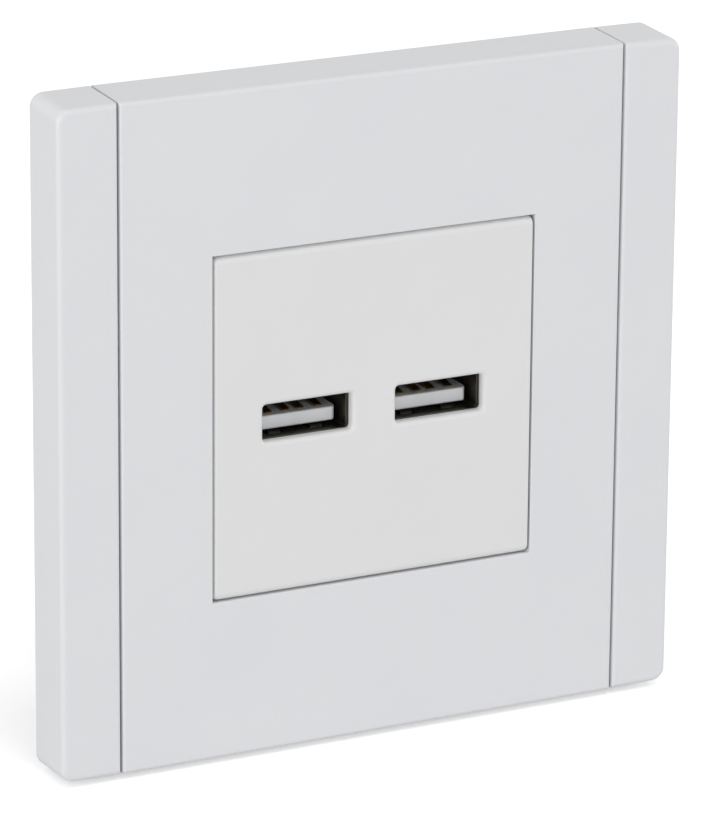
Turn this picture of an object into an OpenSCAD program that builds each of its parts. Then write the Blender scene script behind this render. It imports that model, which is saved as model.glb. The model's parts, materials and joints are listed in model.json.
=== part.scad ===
// Flush USB wall socket: a square cover with a 45 mm centre plate, two type-A ports,
// a mounting strap with spreading claws, and a charger behind it.
// X runs to the right, Y into the wall and Z up. The wall is the plane Y = 0.

/* [Cover] */
// Width of the cover
cover_w = 87; // [86:0.1:94]
// Height of the cover at the wall
cover_h = 88; // [86:0.1:94]
// Distance from the wall to the front face
cover_d = 8.5; // [8:0.1:11]
// How far the top and the bottom lean in from the wall to the front
edge_lean = 0.35; // [0.1:0.05:0.8]
// Radius of the front edges at the top and the bottom
edge_r = 0.7; // [0.4:0.05:1.2]
// Radius of the front edges beside the grooves
groove_edge_r = 0.6; // [0.3:0.05:1]
// Distance between the middles of the two grooves
groove_pitch = 70.6; // [70:0.1:72]
// Radius of the frame's corners beside the grooves, seen from the front
frame_corner_r = 0.25; // [0.15:0.05:0.6]
// Width of each groove
groove_gap = 0.22; // [0.15:0.01:0.5]
// Thickness of the front walls
front_wall = 2; // [1.6:0.1:2.4]
// Thickness of the outer walls
outer_wall = 1.8; // [1.4:0.1:2.2]
// Thickness of skirts, ribs, clips and legs
rib_wall = 1.2; // [1:0.1:1.4]

/* [Side strips] */
// Radius of the strips' outer corners, seen from the front
strip_corner_r = 1.7; // [1:0.1:3]
// Radius of the strips' outer front edge
strip_edge_r = 0.9; // [0.5:0.05:1.2]
// How much the ends of a strip lean in from its middle to its outer edge
strip_end_lean = 0.1; // [0:0.02:0.3]
// Distance between the clips along a strip
clip_pitch = 26; // [20:1:30]
// Length of each clip
clip_l = 8; // [5:0.5:12]

/* [Centre plate] */
// Width and height of the centre plate
plate_w = 45; // [45:0.1:45.6]
// Gap between the plate and the frame
plate_gap = 0.2; // [0.1:0.02:0.4]
// Radius of the plate's front edges
plate_edge_r = 0.8; // [0.4:0.05:1.2]
// Radius of the plate's corners, seen from the front
plate_corner_r = 0.6; // [0.4:0.05:1.2]
// Depth of the skirt behind the plate's edge, from the front face
plate_skirt_d = 4.5; // [3.5:0.1:5.5]
// Distance of the plate's legs from the middle
leg_x = 12.5; // [12:0.5:13]
// Width of each leg
leg_w = 6; // [4:0.5:7]

/* [Ports] */
// Distance between the middles of the two ports
port_pitch = 18.7; // [17:0.1:19.5]
// Width of each port opening
port_w = 12.5; // [12.3:0.05:12.8]
// Height of each port opening
port_h = 4.8; // [4.7:0.05:5]
// Radius of the opening's corners
port_corner_r = 0.5; // [0.3:0.05:0.8]
// Radius of the rounded lip around each opening
port_lip_r = 0.7; // [0.3:0.05:0.9]
// Outer width of the metal shell
shell_w = 13.1; // [13:0.05:13.4]
// Outer height of the metal shell
shell_h = 5.72; // [5.6:0.02:5.9]
// Thickness of the shell's sheet
shell_t = 0.3; // [0.2:0.05:0.4]
// Length of the shell
shell_l = 13.8; // [12:0.1:15]
// Width of the tongue
tongue_w = 11.1; // [10.8:0.05:11.3]
// Thickness of the tongue
tongue_t = 1.84; // [1.7:0.02:2]
// Distance from the front face of the plate to the front of the tongue
tongue_recess = 3.4; // [3:0.1:4.5]
// Distance of the tongue's upper face below the middle of the port
tongue_drop = 0.11; // [0:0.01:0.3]
// Width of each contact
contact_w = 1; // [0.8:0.05:1.1]
// Thickness of each contact
contact_t = 0.25; // [0.15:0.01:0.3]
// Distance of the outer contacts from the middle of the port
outer_contact_x = 3.5; // [3.4:0.05:3.6]
// Distance of the inner contacts from the middle of the port
inner_contact_x = 1; // [0.9:0.05:1.1]

/* [Mounting strap] */
// Width and height of the strap
strap_w = 70.6; // [68:0.1:71]
// Thickness of the strap
strap_t = 1.2; // [1:0.1:1.5]
// Radius of the strap's corners
strap_corner_r = 3; // [1:0.5:5]
// Distance between the two box screws
box_screw_pitch = 60; // [59:0.1:61]
// Radius of the box screw holes
box_screw_r = 2.1; // [1.8:0.05:2.4]
// Distance between the corner screw holes, each way
corner_hole_pitch = 60; // [58:0.5:62]
// Radius of the corner screw holes
corner_hole_r = 1.7; // [1.5:0.1:2]

/* [Housing] */
// Width and height of the housing
housing_w = 40.8; // [40:0.1:41.4]
// Size of the housing's chamfered corners
housing_chamfer = 5; // [4:0.1:5.2]
// Depth of the housing behind the wall plane
housing_d = 28; // [27.6:0.1:34]
// Thickness of the housing's walls
housing_wall = 1.4; // [1.2:0.05:1.5]
// Distance of the housing screws from the middle, each way
housing_screw_x = 14.8; // [14.6:0.05:14.9]
// Radius of a housing screw's shank
housing_screw_r = 1.25; // [1.1:0.05:1.4]
// Thickness of the circuit boards
board_t = 1.6; // [1:0.1:1.8]
// Space between the two boards
board_space = 4; // [3.6:0.1:4.4]

/* [Terminals] */
// Distance between the two terminals
terminal_pitch = 11.2; // [10.6:0.1:12]
// Radius of a terminal screw's shank
terminal_screw_r = 1.5; // [1.25:0.05:1.6]
// Travel of the clamping cage
cage_travel = 2.6; // [2:0.1:2.8]
// Inside width of the cage
cage_inner_w = 4.2; // [3.9:0.1:4.4]
// Thickness of the cage's walls
cage_wall = 1; // [0.8:0.1:1.1]

/* [Claws] */
// Distance of the claw's pivot from the middle
claw_pivot_x = 22.8; // [22.7:0.05:23.2]
// Distance of the claw's pivot behind the strap
claw_pivot_y = 3.8; // [3.7:0.05:4.2]
// Length of the claw behind its pivot
claw_l = 21.6; // [18:0.1:22]
// Thickness of the claw's sheet
claw_t = 1; // [0.8:0.05:1.1]
// Swing of the claw
claw_swing = 20; // [10:1:20]
// Distance of the claw screw from the pivot
claw_arm = 3.6; // [3.5:0.05:3.8]
// Radius of the claw screw's shank
claw_screw_r = 1.5; // [1.3:0.05:1.55]

/* [Hidden] */

// Overrun of every cut, and how far joined solids reach into each other
over = 0.5;
// Steps in each rounded corner of an outline
arc_steps = 6;
// Smoothness of the round parts
$fn = 48;

// Cover
front_y = -cover_d;
front_wall_y = front_y + front_wall;
half_w = cover_w / 2;
half_h = cover_h / 2;
middle_x = groove_pitch / 2 - groove_gap / 2;
strip_x = groove_pitch / 2 + groove_gap / 2;
side_rib_t = 1.4;
hollow_x = middle_x - side_rib_t;
hollow_z = half_h - edge_lean - outer_wall;
window_x = plate_w / 2 + plate_gap;
skirt_x = window_x + rib_wall;
// Clearance between the strips and the wings that carry them
strip_clear = 0.25;
wing_x = half_w - outer_wall - strip_clear;
wing_z = hollow_z - strip_clear;
wing_back_y = front_wall_y + rib_wall;
// Clearance between the frame and the edges of the strap
strap_clear = 0.3;
rib_places_shares = [0.24, 0.64];
rib_d = 3.4;
// Depth and height of the notches in the skirt over the claw screws
head_notch_d = 2.6;
head_notch_z = 3.4;

// Clips and hooks: how far a nose stands out, its length and its play behind the wall
nose = 0.6;
nose_l = 0.6;
nose_taper_l = 1.2;
hook_play = 0.15;
slot_clear = 0.2;
clip_x = strip_x + (wing_x - strip_x) / 2;
hook_x = 12;
hook_w = 4;
// Distance from the skirt to the frame's hooks
hook_set_out = 1.9;
hook_z = skirt_x + hook_set_out;

// Centre plate
plate_half = plate_w / 2;
leg_z = plate_half - rib_wall;

// Ports
port_x = port_pitch / 2;
shell_gap = 0.1;
shell_y = front_wall_y + shell_gap;
shell_corner_r = 0.6;
shell_back_y = shell_y + shell_l;
board_y = shell_back_y;
tongue_y = front_y + tongue_recess;
tongue_base_l = 3.6;
tongue_free_l = shell_back_y - tongue_base_l - tongue_y;
tongue_fit = 0.1;
tongue_top_z = -tongue_drop;
tongue_bottom_z = tongue_top_z - tongue_t;
tongue_chamfer = 0.5;
groove_fit = 0.06;
finger_x = 3.2;
finger_w = 1.7;
finger_gap = 0.25;
finger_set_back = 2.4;
finger_l = 7;
finger_front_y = shell_y + finger_set_back;
finger_back_y = finger_front_y + finger_l;
finger_dip = 0.45;
finger_lip = 0.25;
tab_w = 2.4;
tab_l = 2.6;
tail_w = 0.6;
tail_l = 2.4;
contact_rise = 0.3;
contact_start = 0.6;
contact_lip = 0.25;

// Strap
strap_half = strap_w / 2;
arc_slot_half = 6;
arc_slot_r = 2.1;
arc_slot_step = 45;

// Housing
housing_half = housing_w / 2;
inner_half = housing_half - housing_wall;
spigot_clear = 0.2;
spigot_half = inner_half - spigot_clear;
spigot_inner = spigot_half - housing_wall;
strap_window = spigot_half + spigot_clear;
housing_gap = 0.3;
housing_front_y = front_wall_y + housing_gap;
floor_t = 1.6;
floor_y = housing_d - floor_t;
power_y = board_y + board_t + board_space;
parts_y = power_y + board_t;
// Height of the space for the parts on the power board
parts_room = floor_y - parts_y;
board_half = spigot_half - spigot_clear;
boss_r = 2.6;
tube_r = 3.1;
tube_bore_r = 2.1;
tube_shoulder = 3;
head_r = 2;
head_h = 1.6;
screw_slot_w = 0.7;
screw_slot_d = 0.8;
housing_screw_l = 14;
pilot_depth = 10.4;
screw_play = 0.15;
rail_w = 2;
rail_z = 8;
vent_w = 1.3;
vent_l = 16;
vent_pitch = 3.2;
vent_z = 9;
vent_count = 5;
window_clear = 0.15;

// Terminals, from the bottom up: head pocket, shoulder, chamber of the cage, roof
terminal_x = terminal_pitch / 2;
block_play = 0.1;
block_end_t = 1.35;
block_side_t = 1.55;
cage_play = 0.1;
cage_base_t = 1.2;
cage_fit = 0.08;
chamber_clear = 0.3;
chamber_half_w = cage_inner_w / 2 + cage_wall + chamber_clear / 2;
chamber_half_l = (parts_room - block_play) / 2 - block_end_t;
cage_l = 2 * (chamber_half_l - chamber_clear);
busbar_t = 1;
busbar_w = 3.8;
busbar_pin_w = 1.2;
busbar_pin_l = 0.8;
busbar_fit = 0.05;
wire_w = 3.4;
wire_h = cage_travel + cage_play;
cage_h = cage_base_t + cage_play + busbar_t + wire_h + cage_wall;
terminal_head_r = 2.5;
terminal_head_h = 1.8;
pocket_r = terminal_head_r + screw_play;
pocket_h = terminal_head_h + 2 * cage_play;
shoulder_t = 0.8;
roof_t = 0.7;
access_r = 1.9;
terminal_y = parts_y + block_end_t + chamber_half_l;
terminal_half_w = terminal_x + chamber_half_w + block_side_t;
terminal_back_y = floor_y - block_play;
terminal_bottom_z = block_play - inner_half;
chamber_z0 = terminal_bottom_z + pocket_h + shoulder_t;
cage_bottom_z = chamber_z0 + cage_play + cage_travel;
cage_top_z = cage_bottom_z + cage_h;
chamber_z1 = cage_top_z + cage_play;
terminal_top_z = chamber_z1 + roof_t;
busbar_z = cage_bottom_z + cage_base_t + cage_play;

// Claws
claw_half_w = 4;
claw_foot_half_w = 6;
claw_web_x = 0.9;
claw_arm_l = 6.6;
claw_screw_x = claw_pivot_x + claw_arm;
pin_r = 0.8;
pin_fit = 0.05;
pin_seat = 0.02;
lug_gap = 0.15;
lug_t = 2;
lug_z = claw_half_w + lug_gap;
lug_r = 2;
lug_edge_r = 1.5;
nut_r = 2.5;
nut_half_l = 2.8;
nut_gap = 0.15;
nut_y = claw_pivot_y + claw_t / 2 + nut_gap + nut_r;
claw_head_r = 2.3;
claw_head_h = 1.9;
// How far the claw screw stands out behind its nut
claw_screw_end = 1.25;
claw_screw_tip_y = nut_y + nut_r + claw_screw_end;
retainer_r = 2.1;
retainer_t = 0.75;
retainer_play = 0.12;
// The slot leaves room for the screw while the claw swings
claw_slot_clear = 0.2;
claw_slot_in = claw_screw_r + claw_slot_clear;
claw_slot_out = claw_slot_in + claw_arm * (1 / cos(claw_swing) - 1) + claw_t * tan(claw_swing);
claw_foot_l = 3.1;
claw_widen_y = 7;
claw_cheek_l = 7;
tooth_d = 1.3;
tooth_count = 4;

white = [0.86, 0.86, 0.87];
steel = [0.68, 0.69, 0.7];
brass = [0.8, 0.67, 0.36];
housing_grey = [0.2, 0.21, 0.22];
board_green = [0.1, 0.36, 0.2];
sleeve_black = [0.12, 0.12, 0.14];

// An extrusion along one axis: the drawing lies in the plane across it
module along_x(from, to) translate([from, 0, 0]) rotate([90, 0, 90]) linear_extrude(to - from) children();
module along_y(from, to) translate([0, to, 0]) rotate([90, 0, 0]) linear_extrude(to - from) children();
module along_z(from, to) translate([0, 0, from]) linear_extrude(to - from) children();
// A block between two opposite corners
module block(low, high) translate(low) cube(high - low);
// A round bar or hole along Y or Z
module rod_y(r, from, to) translate([0, from, 0]) rotate([-90, 0, 0]) cylinder(r = r, h = to - from);
module rod_z(r, from, to) translate([0, 0, from]) cylinder(r = r, h = to - from);
// One shape on both sides of the middle
module both_sides() {
    children();
    mirror([1, 0, 0]) children();
}
module top_and_bottom() {
    children();
    mirror([0, 0, 1]) children();
}

function unit(v) = v / norm(v);
// The arc of one rounded corner between two straight edges
function corner_arc(before, corner, after, r) =
    let (u = unit(before - corner), v = unit(after - corner), half = acos(u * v) / 2,
         centre = corner + unit(u + v) * r / sin(half), start = corner + u * r / tan(half) - centre,
         sweep = (180 - 2 * half) * sign(u[1] * v[0] - u[0] * v[1]))
    [for (i = [0 : arc_steps]) let (a = sweep * i / arc_steps)
        centre + [start[0] * cos(a) - start[1] * sin(a), start[0] * sin(a) + start[1] * cos(a)]];
// An outline from corners of the form [x, y, radius]
function rounded(corners) =
    let (n = len(corners), p = [for (c = corners) [c[0], c[1]]])
    [for (i = [0 : n - 1]) let (before = p[(i + n - 1) % n], after = p[(i + 1) % n], r = corners[i][2])
        each r == 0 ? [p[i]] : corner_arc(before, p[i], after, r)];
module outline(corners) polygon(rounded(corners));
// A rectangle about the middle with rounded corners
module rounded_rect(half_x, half_y, r)
    outline([[-half_x, -half_y, r], [half_x, -half_y, r], [half_x, half_y, r], [-half_x, half_y, r]]);

// The cover's side view: it leans in towards the front and has round front edges
module cover_profile()
    outline([[0, -half_h, 0], [0, half_h, 0], [front_y, half_h - edge_lean, edge_r],
        [front_y, edge_lean - half_h, edge_r]]);

// A leg with a nose, drawn with its wall at x = 0 and its nose towards +x
module hook_profile(from, catch, t)
    polygon([[from, 0], [from, t], [catch, t], [catch, t + nose], [catch + nose_l, t + nose],
        [catch + nose_l + nose_taper_l, t / 2], [catch + nose_l + nose_taper_l, 0]]);

module frame_shell() {
    difference() {
        intersection() {
            along_x(-middle_x, middle_x) cover_profile();
            along_z(-half_h, half_h)
                outline([[-middle_x, 0, 0], [-middle_x, front_y, groove_edge_r],
                    [middle_x, front_y, groove_edge_r], [middle_x, 0, 0]]);
            along_y(front_y, 0) rounded_rect(middle_x, half_h, frame_corner_r);
        }
        block([-hollow_x, front_wall_y, -hollow_z], [hollow_x, over, hollow_z]);
    }
    // Skirt around the window, down to the strap
    block([-skirt_x, front_wall_y - over, -skirt_x], [skirt_x, -strap_t, skirt_x]);
    // Ribs from the skirt to the outer walls
    for (share = rib_places_shares) both_sides() top_and_bottom() {
        block([share * hollow_x - rib_wall / 2, front_wall_y - over, skirt_x - over],
            [share * hollow_x + rib_wall / 2, front_wall_y + rib_d, hollow_z + over]);
        block([skirt_x - over, front_wall_y - over, share * hollow_z - rib_wall / 2],
            [hollow_x + over, front_wall_y + rib_d, share * hollow_z + rib_wall / 2]);
    }
    // Wings that carry the strips
    both_sides() difference() {
        block([hollow_x, front_wall_y, -wing_z], [wing_x, 0, wing_z]);
        block([middle_x, wing_back_y, rib_wall - wing_z], [wing_x - rib_wall, over, wing_z - rib_wall]);
        for (place = [-1 : 1])
            block([clip_x - rib_wall / 2 - slot_clear, front_wall_y - over,
                    place * clip_pitch - clip_l / 2 - slot_clear],
                [clip_x + rib_wall / 2 + nose + slot_clear, wing_back_y + over,
                    place * clip_pitch + clip_l / 2 + slot_clear]);
    }
}

module frame_body() color(white) {
    difference() {
        frame_shell();
        block([-window_x, front_y - over, -window_x], [window_x, over, window_x]);
        block([-strap_half - strap_clear, -strap_t, -strap_half - strap_clear],
            [strap_half + strap_clear, over, strap_half + strap_clear]);
        both_sides()
            block([window_x - over, -strap_t - head_notch_d, -head_notch_z],
                [skirt_x + over, 0, head_notch_z]);
    }
    // Hooks that hold the frame on the strap
    both_sides() top_and_bottom()
        along_x(hook_x - hook_w / 2, hook_x + hook_w / 2)
            translate([0, hook_z]) hook_profile(front_wall_y - over, hook_play, rib_wall);
}

// The right-hand strip
module strip() {
    difference() {
        intersection() {
            along_x(strip_x, half_w) cover_profile();
            along_z(-half_h, half_h)
                outline([[strip_x, 0, 0], [strip_x, front_y, groove_edge_r],
                    [half_w, front_y, strip_edge_r], [half_w, 0, 0]]);
            along_y(front_y, 0)
                outline([[strip_x, -half_h, 0], [half_w, strip_end_lean - half_h, strip_corner_r],
                    [half_w, half_h - strip_end_lean, strip_corner_r], [strip_x, half_h, 0]]);
        }
        block([strip_x - over, front_wall_y, -hollow_z], [half_w - outer_wall, over, hollow_z]);
    }
    for (place = [-1 : 1])
        along_z(place * clip_pitch - clip_l / 2, place * clip_pitch + clip_l / 2)
            translate([clip_x - rib_wall / 2, 0]) mirror([1, -1, 0])
                hook_profile(front_wall_y - over, wing_back_y + hook_play, rib_wall);
}
module right_strip() color(white) strip();
module left_strip() color(white) mirror([1, 0, 0]) strip();

// Half of the hole for a port: a straight wall with a rounded lip, drawn out to the given half width
function lip_outline(half, deep) = concat([[half + port_lip_r, front_y - over]],
    corner_arc([half + port_corner_r + port_lip_r, front_y], [half, front_y], [half, deep], port_lip_r),
    [[half, deep]]);
// The hole for a port, with the same lip along its sides and around its corners
module port_hole() {
    deep = front_wall_y + over;
    side_x = port_w / 2 - port_corner_r;
    side_z = port_h / 2 - port_corner_r;
    right = lip_outline(port_w / 2, deep);
    upper = [for (p = lip_outline(port_h / 2, deep)) [p[1], p[0]]];
    along_z(-side_z, side_z)
        polygon(concat(right, [for (i = [len(right) - 1 : -1 : 0]) [-right[i][0], right[i][1]]]));
    along_x(-side_x, side_x)
        polygon(concat(upper, [for (i = [len(upper) - 1 : -1 : 0]) [upper[i][0], -upper[i][1]]]));
    for (x = [-side_x, side_x], z = [-side_z, side_z]) translate([x, 0, z])
        rotate([-90, 0, 0]) rotate_extrude()
            polygon(concat([[0, front_y - over]], lip_outline(port_corner_r, deep), [[0, deep]]));
}

module centre_plate() color(white) {
    difference() {
        intersection() {
            along_y(front_y, front_y + plate_skirt_d) rounded_rect(plate_half, plate_half, plate_corner_r);
            along_x(-plate_half, plate_half)
                outline([[0, -plate_half, 0], [0, plate_half, 0], [front_y, plate_half, plate_edge_r],
                    [front_y, -plate_half, plate_edge_r]]);
            along_z(-plate_half, plate_half)
                outline([[-plate_half, 0, 0], [-plate_half, front_y, plate_edge_r],
                    [plate_half, front_y, plate_edge_r], [plate_half, 0, 0]]);
        }
        block([-leg_z, front_wall_y, -leg_z], [leg_z, over, leg_z]);
        both_sides() translate([port_x, 0, 0]) port_hole();
    }
    // Legs that snap behind the strap
    both_sides() top_and_bottom()
        along_x(leg_x - leg_w / 2, leg_x + leg_w / 2)
            translate([0, leg_z]) hook_profile(front_y + plate_skirt_d - over, hook_play, rib_wall);
}

// A spring finger of the shell, cut free at its front and bent inwards; the drawing is in the YZ plane
module finger_profile(wall_z)
    polygon([[finger_back_y + over, wall_z], [finger_back_y, wall_z],
        [finger_front_y + finger_lip + finger_dip, wall_z - finger_dip],
        [finger_front_y + finger_lip, wall_z - finger_dip / 2],
        [finger_front_y + finger_lip, wall_z - finger_dip / 2 - shell_t],
        [finger_front_y + finger_lip + finger_dip, wall_z - finger_dip - shell_t],
        [finger_back_y, wall_z - shell_t], [finger_back_y + over, wall_z - shell_t]]);

module usb_shell() color(steel) {
    difference() {
        along_y(shell_y, shell_back_y) rounded_rect(shell_w / 2, shell_h / 2, shell_corner_r);
        along_y(shell_y - over, shell_back_y + over)
            rounded_rect(shell_w / 2 - shell_t, shell_h / 2 - shell_t, shell_corner_r - shell_t);
        both_sides() top_and_bottom()
            block([finger_x - finger_w / 2 - finger_gap, finger_front_y - finger_gap, 0],
                [finger_x + finger_w / 2 + finger_gap, finger_back_y, shell_h]);
    }
    both_sides() top_and_bottom()
        along_x(finger_x - finger_w / 2, finger_x + finger_w / 2) finger_profile(shell_h / 2);
    both_sides()
        block([shell_w / 2 - shell_t, shell_back_y - over, -tab_w / 2],
            [shell_w / 2, shell_back_y + tab_l, tab_w / 2]);
}

contact_places = [-outer_contact_x, -inner_contact_x, inner_contact_x, outer_contact_x];

module usb_tongue() color([0.74, 0.75, 0.77]) difference() {
    union() {
        along_z(tongue_bottom_z, tongue_top_z)
            polygon([[-tongue_w / 2, shell_back_y - over], [-tongue_w / 2, tongue_y + tongue_chamfer],
                [tongue_chamfer - tongue_w / 2, tongue_y], [tongue_w / 2 - tongue_chamfer, tongue_y],
                [tongue_w / 2, tongue_y + tongue_chamfer], [tongue_w / 2, shell_back_y - over]]);
        along_y(shell_back_y - tongue_base_l, shell_back_y)
            rounded_rect(shell_w / 2 - shell_t - tongue_fit, shell_h / 2 - shell_t - tongue_fit,
                shell_corner_r - shell_t);
    }
    for (x = contact_places)
        block([x - contact_w / 2 - groove_fit, tongue_y + contact_start - groove_fit,
                tongue_top_z - contact_t - 2 * groove_fit],
            [x + contact_w / 2 + groove_fit, shell_back_y + over, tongue_top_z + contact_rise / 2]);
}

// A contact in the YZ plane: flat in its channel, with a raised bow near the front
module contact_profile() {
    low = tongue_top_z - contact_t - groove_fit;
    start = tongue_y + contact_start;
    bow = (tongue_free_l - contact_start) / 4;
    path = [[start, low], [start + bow, low + contact_rise], [start + 2 * bow, low + contact_rise],
        [start + 3 * bow, low], [shell_back_y, low]];
    polygon(concat(path, [for (i = [len(path) - 1 : -1 : 0]) path[i] + [0, contact_t]]));
}
module usb_contacts() color(brass) for (x = contact_places) {
    along_x(x - contact_w / 2, x + contact_w / 2) contact_profile();
    block([x - tail_w / 2, shell_back_y - over, tongue_top_z - contact_t - groove_fit],
        [x + tail_w / 2, shell_back_y + tail_l, tongue_top_z - groove_fit]);
}

module at_port(side) translate([side * port_x, 0, 0]) children();
module usb_shell_left() at_port(-1) usb_shell();
module usb_shell_right() at_port(1) usb_shell();
module usb_tongue_left() at_port(-1) usb_tongue();
module usb_tongue_right() at_port(1) usb_tongue();
module usb_contacts_left() at_port(-1) usb_contacts();
module usb_contacts_right() at_port(1) usb_contacts();

// The housing's outline: a square with cut corners, the same wall all round at every size
module housing_outline(half) {
    inset = housing_half - half;
    cut = housing_chamfer - inset * (2 - sqrt(2));
    polygon([[-half, cut - half], [cut - half, -half], [half - cut, -half], [half, cut - half],
        [half, half - cut], [half - cut, half], [cut - half, half], [-half, half - cut]]);
}
module at_housing_screws()
    for (x = [-1, 1], z = [-1, 1]) translate([x * housing_screw_x, 0, z * housing_screw_x]) children();

module mounting_strap() color(steel) difference() {
    along_y(-strap_t, 0) rounded_rect(strap_half, strap_half, strap_corner_r);
    along_y(-strap_t - over, over) housing_outline(strap_window);
    top_and_bottom() translate([0, 0, box_screw_pitch / 2]) rod_y(box_screw_r, -strap_t - over, over);
    for (x = [-1, 1], z = [-1, 1])
        translate([x * corner_hole_pitch / 2, 0, z * corner_hole_pitch / 2])
            rod_y(corner_hole_r, -strap_t - over, over);
    both_sides() translate([claw_screw_x, 0, 0]) rod_y(claw_screw_r + pin_fit, -strap_t - over, over);
    // Curved slots on the diagonals of the box screw circle
    for (quarter = [0 : 3]) rotate([0, arc_slot_step + quarter * 90, 0]) arc_slot();
    // Slots for the frame's hooks and the plate's legs
    both_sides() top_and_bottom() {
        block([hook_x - hook_w / 2 - slot_clear, -strap_t - over, hook_z - nose - slot_clear],
            [hook_x + hook_w / 2 + slot_clear, over, hook_z + rib_wall + slot_clear]);
        block([leg_x - leg_w / 2 - slot_clear, -strap_t - over, leg_z - slot_clear],
            [leg_x + leg_w / 2 + slot_clear, over, plate_half + slot_clear]);
    }
}
module arc_slot() {
    pitch_r = box_screw_pitch / 2;
    translate([0, over, 0]) rotate([90, arc_slot_half, 0])
        rotate_extrude(angle = 2 * arc_slot_half)
            translate([pitch_r - arc_slot_r, 0]) square([2 * arc_slot_r, strap_t + 2 * over]);
    for (side = [-1, 1]) rotate([0, side * arc_slot_half, 0])
        translate([pitch_r, 0, 0]) rod_y(arc_slot_r, -strap_t - over, over);
}

module front_housing() color(white) difference() {
    union() {
        difference() {
            union() {
                along_y(housing_front_y, -strap_t) housing_outline(housing_half);
                along_y(-strap_t - over, board_y) housing_outline(spigot_half);
            }
            along_y(housing_front_y + housing_wall, board_y + over) housing_outline(spigot_inner);
        }
        at_housing_screws() rod_y(boss_r, housing_front_y + housing_wall / 2, board_y);
    }
    at_housing_screws() rod_y(housing_screw_r, board_y - pilot_depth, board_y + over);
    both_sides() translate([port_x, 0, 0])
        along_y(housing_front_y - over, housing_front_y + housing_wall + over)
            rounded_rect(shell_w / 2 + window_clear, shell_h / 2 + window_clear, shell_corner_r);
}

// A lug of the housing that carries one end of a claw's pin
module claw_lug() along_z(lug_z, lug_z + lug_t)
    outline([[housing_half - over, 0, 0], [claw_pivot_x + lug_r, 0, 0],
        [claw_pivot_x + lug_r, claw_pivot_y + lug_r, lug_edge_r],
        [housing_half - over, claw_pivot_y + lug_r, 0]]);

module rear_housing() color(housing_grey) difference() {
    union() {
        difference() {
            along_y(0, housing_d) housing_outline(housing_half);
            along_y(-over, floor_y) housing_outline(inner_half);
        }
        at_housing_screws() rod_y(tube_r, board_y + board_t, housing_d);
        both_sides() top_and_bottom() {
            block([board_half - housing_wall, parts_y, rail_z - rail_w / 2],
                [inner_half + over, floor_y + over, rail_z + rail_w / 2]);
            claw_lug();
        }
    }
    at_housing_screws() {
        rod_y(tube_bore_r, board_y + board_t + tube_shoulder, housing_d + over);
        rod_y(housing_screw_r + screw_play, board_y, housing_d);
    }
    both_sides() {
        translate([claw_pivot_x, claw_pivot_y, 0])
            rod_z(pin_r + pin_seat, -lug_z - lug_t - over, lug_z + lug_t + over);
        translate([terminal_x, terminal_y, 0]) rod_z(access_r, -housing_half - over, -inner_half + over);
        block([terminal_x - wire_w / 2, floor_y - over, busbar_z + busbar_t],
            [terminal_x + wire_w / 2, housing_d + over, busbar_z + busbar_t + wire_h]);
    }
    for (i = [0 : vent_count - 1])
        block([-vent_l / 2, floor_y - over, vent_z + (i - (vent_count - 1) / 2) * vent_pitch - vent_w / 2],
            [vent_l / 2, housing_d + over, vent_z + (i - (vent_count - 1) / 2) * vent_pitch + vent_w / 2]);
}

// A slotted screw along +Y: its head is in front of y = 0 and its shank behind
module screw_y(shank_r, length, cap_r, cap_h) {
    rod_y(shank_r, -over, length);
    difference() {
        rod_y(cap_r, -cap_h, 0);
        block([-cap_r - over, -cap_h - over, -screw_slot_w / 2],
            [cap_r + over, screw_slot_d - cap_h, screw_slot_w / 2]);
    }
}

module housing_screws() color(steel) at_housing_screws()
    translate([0, board_y + board_t + tube_shoulder, 0]) mirror([0, 1, 0])
        screw_y(housing_screw_r, housing_screw_l, head_r, head_h);

header_z = 16.4;
pin_pitch = 2.54;
header_pins = 6;
header_w = 2.5;
header_half_l = (header_pins - 1) / 2 * pin_pitch + header_w / 2;
pin_w = 0.6;
pin_hole_r = 0.47;
pin_end = 1;
module at_header_pins()
    for (i = [0 : header_pins - 1])
        translate([(i - (header_pins - 1) / 2) * pin_pitch, 0, header_z]) children();

module usb_board() color(board_green) difference() {
    along_y(board_y, board_y + board_t) housing_outline(board_half);
    at_housing_screws() rod_y(housing_screw_r + screw_play, board_y - over, board_y + board_t + over);
    at_header_pins() rod_y(pin_hole_r, board_y - over, board_y + board_t + over);
    for (side = [-1, 1]) translate([side * port_x, 0, 0]) {
        both_sides()
            block([shell_w / 2 - shell_t - window_clear, board_y - over, -tab_w / 2 - window_clear],
                [shell_w / 2 + window_clear, board_y + board_t + over, tab_w / 2 + window_clear]);
        for (x = contact_places)
            translate([x, 0, tongue_top_z - groove_fit - contact_t / 2])
                rod_y(pin_hole_r, board_y - over, board_y + board_t + over);
    }
}

module power_board() color(board_green) difference() {
    along_y(power_y, parts_y) housing_outline(board_half);
    at_housing_screws() rod_y(tube_r + window_clear, power_y - over, parts_y + over);
    at_header_pins() rod_y(pin_hole_r, power_y - over, parts_y + over);
    both_sides()
        block([terminal_x - busbar_pin_w / 2 - busbar_fit, power_y - over, busbar_z - busbar_fit],
            [terminal_x + busbar_pin_w / 2 + busbar_fit, parts_y + over, busbar_z + busbar_t + busbar_fit]);
}

module board_header() color(sleeve_black) {
    block([-header_half_l, board_y + board_t, header_z - header_w / 2],
        [header_half_l, power_y, header_z + header_w / 2]);
    at_header_pins()
        block([-pin_w / 2, board_y - pin_end, -pin_w / 2], [pin_w / 2, parts_y + pin_end, pin_w / 2]);
}

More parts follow.
